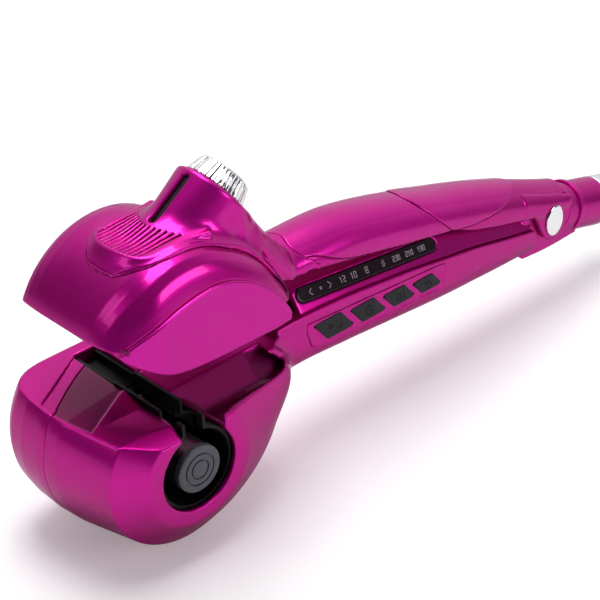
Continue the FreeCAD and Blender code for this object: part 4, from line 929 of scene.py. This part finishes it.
sdf_piece("front_cover", front_cover_fn, (66, -22, 24), (162, 12, 56), HF, "upper_jaw", M_COVER, ["handle_front_cover"])
sdf_piece("thumb_cover", rear_cover_fn, (132, -22, 14), (216, 12, 52), HF, "upper_jaw", M_COVER, ["handle_thumb_cover"])
sdf_piece("cheek_near", cheek_near_fn, (-24, -36, 34), (58, -20, 70), HF, "upper_jaw", M_CHEEK, ["cheek_plate_near"])
sdf_piece("cheek_far", cheek_far_fn, (-24, 27, 34), (60, 31, 76), HF, "upper_jaw", M_CHEEK, ["cheek_plate_far"])
sdf_piece("tank_body", tank_piece_fn, (-14, -28, 42), (82, 18, 100), HF, "tank", M_TANK, ["water_tank"])
sdf_piece("tank_window", level_fn, (8, -9, 74), (40, -1, 98), 0.4, "tank", M_LENS, ["tank_level_window"])


def lathe(name, prof, origin, axis, n=96, wobble=None, mat=None, body=None, stands=(), smooth=True):
    """Turned piece: prof is (radius, height) in mm along the axis from origin."""
    a = np.array(axis, float)
    a /= np.linalg.norm(a)
    b = np.cross(a, [0, 0, 1.0])
    if np.linalg.norm(b) < 1e-3:
        b = np.array([1.0, 0, 0])
    b /= np.linalg.norm(b)
    c = np.cross(a, b)
    verts, faces = [], []
    m = len(prof)
    for j, (r, h) in enumerate(prof):
        for i in range(n):
            t = 2 * math.pi * i / n
            rr = r if wobble is None else wobble(r, h, t, j)
            verts.append(np.array(origin) + a * h + b * rr * math.cos(t) + c * rr * math.sin(t))
    for j in range(m - 1):
        for i in range(n):
            k = (i + 1) % n
            faces.append((j * n + i, j * n + k, (j + 1) * n + k, (j + 1) * n + i))
    closed = prof[0][0] > 1e-6 and prof[-1][0] > 1e-6
    if closed:
        for i in range(n):
            k = (i + 1) % n
            faces.append(((m - 1) * n + i, (m - 1) * n + k, k, i))
    me = bpy.data.meshes.new(name)
    me.from_pydata([tuple(v * MM) for v in verts], [], faces)
    import bmesh
    bm = bmesh.new()
    bm.from_mesh(me)
    bmesh.ops.remove_doubles(bm, verts=bm.verts, dist=1e-6)
    bmesh.ops.recalc_face_normals(bm, faces=bm.faces)
    bm.to_mesh(me)
    bm.free()
    if smooth:
        for p in me.polygons:
            p.use_smooth = True
        me.set_sharp_from_angle(angle=math.radians(32))
    ob = bpy.data.objects.new(name, me)
    bpy.context.scene.collection.objects.link(ob)
    if mat:
        me.materials.append(mat)
    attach(ob, body)
    if stands:
        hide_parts(*stands)
    return ob


def arc(cx, cy, r, a0, a1, n=6):
    return [(cx + r * math.cos(math.radians(a0 + (a1 - a0) * i / n)), cy + r * math.sin(math.radians(a0 + (a1 - a0) * i / n)))
            for i in range(n + 1)]


# Filler cap: fluted chrome knob with four wider grips.
def knurl(r, h, t, j):
    if r < 9.9 or h < 0.5 or h > 7.6:
        return r
    s = (t * 40 / (2 * math.pi)) % 1.0
    g = 0.34 * (0.5 - 0.5 * math.cos(2 * math.pi * s)) ** 1.3
    lug = abs(((t / (math.pi / 2) + 0.5) % 1.0) - 0.5) * (math.pi / 2) * 12.4
    if lug < 1.5:
        g = -0.0 + 0.45 * sstep(1.15, 1.5, lug)
    return r - g


cap_prof = ([(0.0, -6.6), (8.2, -6.6), (8.85, -5.9), (8.85, -0.05), (9.3, 0.34), (12.1, 0.34)] + arc(12.15, 0.80, 0.42, -80, 0, 4)
            + [(12.28, 1.4), (11.74, 3.2), (11.15, 5.2), (10.6, 7.0), (10.1, 7.7), (9.6, 8.1), (8.9, 8.35), (8.4, 8.35), (8.0, 8.15),
               (7.7, 8.0), (4.5, 8.05), (0.0, 8.1)])
lathe("filler_knob", cap_prof, RIM, KA, 320, knurl, M_CHROME, "tank_cap", ["filler_cap"])

# Barrel end cap with two turned grooves.
bc = [(0.0, 0.0), (9.4, 0.0), (9.6, 0.15), (9.6, 2.1)] + arc(9.0, 2.2, 0.6, 0, 80, 5) + [(8.4, 2.86), (7.1, 2.92), (6.75, 2.86),
      (6.62, 2.35), (6.2, 2.35), (6.05, 2.9), (5.7, 2.98), (4.45, 2.99), (4.1, 2.92), (3.98, 2.38), (3.55, 2.38), (3.42, 2.93),
      (3.0, 3.02), (0.0, 3.05)]
lathe("barrel_cap", bc, (0, -37.65, 0), (0, -1, 0), 128, None, M_CAPGREY, "lower_body", ["barrel_end_cap"])

# Tail: collar, silver swivel ring, ribbed boot and cord stub.
RF0 = TE + TD * 0.3
lathe("collar_ring", [(11.34, 0.0), (11.9, 0.0), (12.2, 0.25), (12.3, 0.8), (12.3, 1.6), (12.2, 2.15), (11.9, 2.4), (11.34, 2.4)],
      TS + TD * 4.5, TD, 128, None, M_COVER, "lower_body", ["tail_collar"])
sr = [(3.05, -11.5), (6.0, -11.5), (6.0, 0.02), (10.9, 0.02), (11.25, 0.35), (11.3, 0.9), (11.3, 11.8)] + arc(10.5, 12.1, 0.8, 0, 85, 5) + \
     [(10.0, 13.0), (6.4, 13.0), (5.5, 12.6), (5.42, 8.1), (3.05, 8.1)]
lathe("swivel_ring_turned", sr, RF0, TD, 128, None, M_SILVER, "cord_swivel", ["swivel_ring"])
bp = [(3.04, 0.0), (5.28, 0.0), (4.92, 6.0)]
for i in range(5):
    h0 = 6.2 + 2.2 * i
    r0 = 5.3 - 1.1 * h0 / 17.0
    bp += [(r0 - 0.05, h0 - 0.1), (3.85, h0 + 0.12), (3.85, h0 + 0.86), (r0 - 0.15, h0 + 1.06)]
bp += [(4.2, 16.7), (4.0, 17.0), (3.04, 17.0)]
lathe("ribbed_boot", bp, RF0 + TD * 8.1, TD, 72, None, M_CORD, "cord_swivel", ["strain_relief_boot"])
lathe("cord_stub", [(0.0, -10.0), (2.98, -10.0), (2.98, 25.12), (3.1, 25.15), (3.2, 25.3), (3.2, 44.9), (3.0, 45.12), (0.0, 45.15)],
      RF0, TD, 64, None, M_CORD, "cord_swivel", ["power_cord_stub"])


# Domed oval hinge caps.
def hinge_cap(name, side, node):
    n, m = 64, 12
    yf = MY + side * 12.6
    verts, faces = [], []
    rows = [(1.0, -0.5), (1.0, 0.12)] + [(math.cos(math.radians(a)), 0.12 + 0.80 * math.sin(math.radians(a))) for a in
                                         (12, 25, 38, 50, 62, 73, 82)]
    for f, d in rows:
        for i in range(n):
            t = 2 * math.pi * i / n
            verts.append((HX + 0.3 + 5.33 * f * math.cos(t), yf + side * d, HZ + 7.3 * f * math.sin(t)))
    for j in range(len(rows) - 1):
        for i in range(n):
            k = (i + 1) % n
            faces.append((j * n + i, j * n + k, (j + 1) * n + k, (j + 1) * n + i))
    faces.append(tuple(range(n)))
    faces.append(tuple(range((len(rows) - 1) * n, len(rows) * n)))
    me = bpy.data.meshes.new(name)
    me.from_pydata([(v[0] * MM, v[1] * MM, v[2] * MM) for v in verts], [], faces)
    import bmesh
    bm = bmesh.new()
    bm.from_mesh(me)
    bmesh.ops.recalc_face_normals(bm, faces=bm.faces)
    bm.to_mesh(me)
    bm.free()
    for p in me.polygons:
        p.use_smooth = True
    me.set_sharp_from_angle(angle=math.radians(40))
    me.materials.append(M_CHROME)
    ob = bpy.data.objects.new(name, me)
    bpy.context.scene.collection.objects.link(ob)
    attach(ob, "upper_jaw")
    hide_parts(node)


hinge_cap("hinge_badge_near", -1, "hinge_cap_near")
hinge_cap("hinge_badge_far", 1, "hinge_cap_far")

# ---------------------------------------------------- keys, plate and window
YW = MY - 15.0


def stroke_sdf(lines, x, z):
    d = np.full(x.shape, 1e9)
    for ln in lines:
        for (ax, az), (bx, bz) in zip(ln[:-1], ln[1:]):
            ex, ez = bx - ax, bz - az
            t = np.clip(((x - ax) * ex + (z - az) * ez) / max(ex * ex + ez * ez, 1e-9), 0, 1)
            d = np.minimum(d, (x - ax - ex * t) ** 2 + (z - az - ez * t) ** 2)
    return np.sqrt(d)


def circle_pts(cx, cz, r, a0=0, a1=360, n=16):
    return [(cx + r * math.cos(math.radians(a0 + (a1 - a0) * i / n)), cz + r * math.sin(math.radians(a0 + (a1 - a0) * i / n)))
            for i in range(n + 1)]


ICONS = {
    "button_direction": [[(-3.4, 0.9), (-0.6, 0.9)], [(-2.2, 2.0), (-3.5, 0.9), (-2.2, -0.2)],
                         [(0.6, -0.9), (3.4, -0.9)], [(2.2, 0.2), (3.5, -0.9), (2.2, -2.0)]],
    "button_timer": [circle_pts(0, -0.2, 2.1), [(0, -0.2), (0, 1.0)], [(0, -0.2), (0.9, -0.6)], [(0, 1.9), (0, 2.6)], [(-0.6, 2.6), (0.6, 2.6)]],
    "button_steam": [[(-1.8, -1.6), (-1.2, -0.6), (-1.8, 0.4), (-1.2, 1.5)], [(0, -1.6), (0.6, -0.6), (0, 0.4), (0.6, 1.5)],
                     [(1.8, -1.6), (2.4, -0.6), (1.8, 0.4), (2.4, 1.5)]],
    "button_power": [circle_pts(0, -0.2, 1.7, 125, 415, 14), [(0, 0.1), (0, 2.0)]],
}
KEY_LEAN = {"button_direction": 0.30, "button_timer": 0.30, "button_steam": 0.30, "button_power": 0.30}

for bname, bx, bz, bw, bh, bs, bbody in BUTTONS:
    kp = Poly2(slanted(bx, bz, bw - 2.2, bh - 2.2, bs * (bh - 2.2) / bh, 0.0), 8, 0.2)
    icon = ICONS[bname]
    lean = -2 * bs / bh * 0.35

    def key_fn(x, y, z, kp=kp, icon=icon, bx=bx, bz=bz, lean=lean):
        out = kp(x, z) - 1.0
        top = YW - 0.62 + 0.10 * (((x - bx) / 6.0) ** 2 + ((z - bz) / 4.0) ** 2)
        f = smax(out, top - y, 0.55)
        f = smax(f, y - (YW + 2.9), 0.2)
        u, w = (x - bx) - (z - bz) * lean, z - bz
        ic = stroke_sdf(icon, u, w) - 0.26
        return smax(f, -smax(ic, y - (YW - 0.28), 0.08), 0.10)

    bo = sdf_piece(bname.replace("button", "key"), key_fn, (bx - 11, YW - 1.4, bz - 7), (bx + 11, YW + 3.4, bz + 7),
                   0.24, bbody, M_RUBBER, [bname])
    bo.data.materials.append(M_ICON)
    me = bo.data
    for p in me.polygons:
        c = p.center / MM
        d = stroke_sdf(icon, np.array([(c.x - bx) - (c.z - bz) * lean]), np.array([c.z - bz]))[0]
        if d < 0.30 and c.y < YW + 0.4 and c.y > YW - 0.62:
            p.material_index = 1


def plate_fn(x, y, z):
    f = smax(PLATE(x, z) + 0.18, (YW + 0.02) - y, 0.28)
    f = smax(f, y - (YW + 0.60), 0.1)
    return smax(f, -(BTN_HOLES(x, z) + 0.95), 0.22)


sdf_piece("key_plate", plate_fn, (70, YW - 0.6, 0), (154, YW + 1.2, 22), 0.34, "lower_body", M_SHELL, ["button_bezel"])


def lens_fn(x, y, z):
    return window_fn(x, y, z, -0.10, -1.2, 0.35, 0.5)


lens = sdf_piece("indicator_lens", lens_fn, (70, -19, 15), (152, -9, 36), 0.34, "lower_body", M_LENS, ["indicator_window"])

# Backlit marks under the lens face: plain numbers and dots.
SEG = {
    "0": [[(0, 0), (1, 0), (1, 2), (0, 2), (0, 0)]], "1": [[(0.5, 0), (0.5, 2)], [(0.1, 1.6), (0.5, 2)]],
    "2": [[(0, 2), (1, 2), (1, 1), (0, 1), (0, 0), (1, 0)]], "3": [[(0, 2), (1, 2), (1, 0), (0, 0)], [(0.2, 1), (1, 1)]],
    "8": [[(0, 0), (1, 0), (1, 2), (0, 2), (0, 0)], [(0, 1), (1, 1)]],
    "9": [[(1, 1), (0, 1), (0, 2), (1, 2), (1, 0), (0, 0)]],
    "<": [[(1, 0), (0, 1), (1, 2)]], ">": [[(0, 0), (1, 1), (0, 2)]], "o": [[(0.2, 0.7), (0.8, 0.7), (0.8, 1.3), (0.2, 1.3), (0.2, 0.7)]],
    "s": [[(0.1, 0), (0.6, 0.7), (0.1, 1.3), (0.6, 2)], [(0.8, 0), (1.3, 0.7), (0.8, 1.3), (1.3, 2)]],
}
MARKS = [(4.0, "<", 1.15), (9.4, "o", 1.15), (14.2, ">", 1.15), (21.2, "12", 1.0), (27.2, "10", 1.0), (34.4, "8", 1.1), (43.5, "s", 1.1),
         (51.2, "230", 0.85), (58.6, "210", 0.85), (65.6, "190", 0.85)]
mv, mf = [], []


def add_stroke(p, q, half, lift):
    p, q = np.array(p), np.array(q)
    d = q - p
    L = np.linalg.norm(d)
    d = d / L
    nrm = np.array([-d[1], d[0]])
    p, q = p - d * half * 0.7, q + d * half * 0.7
    base = len(mv)
    for lift_ in (lift, lift + 0.08):
        for c in (p + nrm * half, p - nrm * half, q - nrm * half, q + nrm * half):
            w = WA + WD * c[0] + WU * c[1] + WN * lift_
            mv.append(tuple(w * MM))
    b = base
    mf.extend([(b, b + 1, b + 2, b + 3), (b + 7, b + 6, b + 5, b + 4), (b, b + 4, b + 5, b + 1), (b + 1, b + 5, b + 6, b + 2),
               (b + 2, b + 6, b + 7, b + 3), (b + 3, b + 7, b + 4, b)])


for s0, text, sc in MARKS:
    for k, ch in enumerate(text):
        for ln in SEG[ch]:
            pts = [(s0 + (k - (len(text) - 1) / 2.0) * 1.75 * sc + (p - 0.5) * 1.15 * sc, (q - 1.0) * 1.15 * sc) for p, q in ln]
            for a_, b_ in zip(pts[:-1], pts[1:]):
                add_stroke(a_, b_, 0.17, 0.30)
me = bpy.data.meshes.new("indicator_marks")
me.from_pydata(mv, [], mf)
marks = bpy.data.objects.new("indicator_marks", me)
bpy.context.scene.collection.objects.link(marks)
import bmesh
bm = bmesh.new()
bm.from_mesh(me)
bmesh.ops.recalc_face_normals(bm, faces=bm.faces)
bm.to_mesh(me)
bm.free()
me.materials.append(M_MARK)
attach(marks, "lower_body")

# ------------------------------------------- carried-over pieces and finishes
CAD_MATS = {
    "chamber_liner": M_BLACK, "hair_guide_trough": M_BLACK, "heated_barrel": M_ALU, "barrel_heater_cartridge": M_STEEL,
    "barrel_spindle": M_BLACK, "winding_rotor": M_BLACK, "rotor_drive_gear": M_WHITE, "motor_pinion": M_WHITE, "motor_shaft": M_STEEL,
    "rotor_motor": M_STEEL, "motor_bracket": M_STEEL, "power_control_board": M_BOARD, "button_board": M_BOARD,
    "indicator_light_board": M_BOARD, "case_screws": M_STEEL, "hinge_pin": M_STEEL, "jaw_torsion_spring": M_STEEL,
    # the jaw floor plate wears the darker painted-shade copy of the shell paint
    "upper_handle_tray": M_SHELL, "jaw_floor_plate": M_PAINTED_SHADE, "hair_closing_pad": M_BLACK, "tank_feed_valve": M_WHITE,
    "steam_boiler": M_ALU, "steam_nozzle": M_STEEL, "closing_magnet": M_STEEL, "filler_gasket": M_GASKET,
}
for nm, mt in CAD_MATS.items():
    ob = NODES[nm]
    ob.data.materials.clear()
    ob.data.materials.append(mt)
    ob.data.set_sharp_from_angle(angle=math.radians(30))

# ------------------------------------------------------ camera, stage, light
R = [0.73293245, -0.67940904, -0.03483363, 0.37907060, 0.36534370, 0.85019378, -0.56490309, -0.63633902, 0.52531625]
T = [-63.45599, -46.17340, -673.63693]
F_PX = 1800.0
cam_data = bpy.data.cameras.new("camera")
cam_data.lens = F_PX / 600.0 * 36.0
cam_data.sensor_width = 36.0
cam_data.clip_start, cam_data.clip_end = 0.05, 10.0
cam = bpy.data.objects.new("camera", cam_data)
bpy.context.scene.collection.objects.link(cam)
Rm = np.array(R).reshape(3, 3)
C = -Rm.T @ np.array(T) * MM
cam.matrix_world = Matrix([list(Rm.T[0]) + [C[0]], list(Rm.T[1]) + [C[1]], list(Rm.T[2]) + [C[2]], [0, 0, 0, 1]])
bpy.context.scene.camera = cam

FLOOR_Z = -0.0405
fm, fnt, fb = new_mat("floor_paper")
fv = tex_coord(fnt, 1.0)
fnz = noise(fnt, fv, 6.0, 3.0)
fnt.links.new(ramp(fnt, fnz, [(0.3, (0.90, 0.895, 0.90)), (0.7, (0.93, 0.925, 0.93))]), fb.inputs["Base Color"])
fnt.links.new(span(fnt, fnz, 0.75, 0.9), fb.inputs["Roughness"])
fb.inputs["Specular IOR Level"].default_value = 0.15
flp = fnt.nodes.new("ShaderNodeLightPath")
fem = fnt.nodes.new("ShaderNodeMath")
fem.operation = "MULTIPLY"
fem.inputs[1].default_value = 0.24
fnt.links.new(flp.outputs["Is Camera Ray"], fem.inputs[0])
fnt.links.new(fem.outputs[0], fb.inputs["Emission Strength"])
fb.inputs["Emission Color"].default_value = (1.0, 0.99, 1.0, 1.0)
n_f = 8
fverts = [(-3 + 6.0 * i / n_f, -3 + 6.0 * j / n_f, FLOOR_Z) for i in range(n_f + 1) for j in range(n_f + 1)]
ffaces = [(i * (n_f + 1) + j, (i + 1) * (n_f + 1) + j, (i + 1) * (n_f + 1) + j + 1, i * (n_f + 1) + j + 1)
          for i in range(n_f) for j in range(n_f)]
fme = bpy.data.meshes.new("floor")
fme.from_pydata(fverts, [], ffaces)
fme.materials.append(fm)
floor = bpy.data.objects.new("floor", fme)
bpy.context.scene.collection.objects.link(floor)
floor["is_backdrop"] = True

RIGHT, UP_, BACK = Vector(Rm[0]), Vector(Rm[1]), Vector(Rm[2])


def area(name, pos, size_x, size_y, watts, target=(0.06, -0.01, 0.02), colour=(1, 1, 1), spread=math.pi):
    ld = bpy.data.lights.new(name, "AREA")
    ld.shape = "RECTANGLE"
    ld.size, ld.size_y = size_x, size_y
    ld.energy = watts
    ld.color = colour
    ld.spread = spread
    lo = bpy.data.objects.new(name, ld)
    bpy.context.scene.collection.objects.link(lo)
    lo.location = pos
    d = Vector(target) - Vector(pos)
    lo.rotation_euler = d.to_track_quat("-Z", "Y").to_euler()
    return lo


area("key_top", (0.16, 0.16, 0.95), 0.50, 0.85, 7.5)
area("left_box", (-0.85, 0.35, 0.60), 0.30, 0.6, 0.9)
area("front_box", (0.42, -0.95, 0.40), 0.6, 0.35, 2.6)

w = bpy.data.worlds.new("studio")
w.use_nodes = True
wn = w.node_tree
bg = wn.nodes["Background"]
bg.inputs["Strength"].default_value = 1.0
tc = wn.nodes.new("ShaderNodeTexCoord")
sx = wn.nodes.new("ShaderNodeSeparateXYZ")
wn.links.new(tc.outputs["Generated"], sx.inputs[0])
# pale backdrop behind the object, dim room on the camera's side
dt = wn.nodes.new("ShaderNodeVectorMath")
dt.operation = "DOT_PRODUCT"
wn.links.new(tc.outputs["Generated"], dt.inputs[0])
dt.inputs[1].default_value = (0.70, 0.66, 0.28)
mr = wn.nodes.new("ShaderNodeMapRange")
mr.inputs["From Min"].default_value = -0.5
mr.inputs["From Max"].default_value = 1.0
wn.links.new(dt.outputs["Value"], mr.inputs["Value"])
wcol = ramp(wn, mr.outputs["Result"], [(0.0, (0.035, 0.035, 0.04)), (0.35, (0.07, 0.07, 0.075)), (0.55, (0.20, 0.20, 0.205)), (0.72, (0.62, 0.61, 0.63)), (1.0, (0.95, 0.94, 0.96))])
lp = wn.nodes.new("ShaderNodeLightPath")
wm = wn.nodes.new("ShaderNodeMix")
wm.data_type = "RGBA"
wn.links.new(lp.outputs["Is Camera Ray"], wm.inputs["Factor"])
wn.links.new(wcol, wm.inputs[6])
wm.inputs[7].default_value = (1, 1, 1, 1)
wn.links.new(wm.outputs[2], bg.inputs["Color"])
bpy.context.scene.world = w
bpy.context.scene.view_settings.view_transform = "Standard"

a_, b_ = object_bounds()
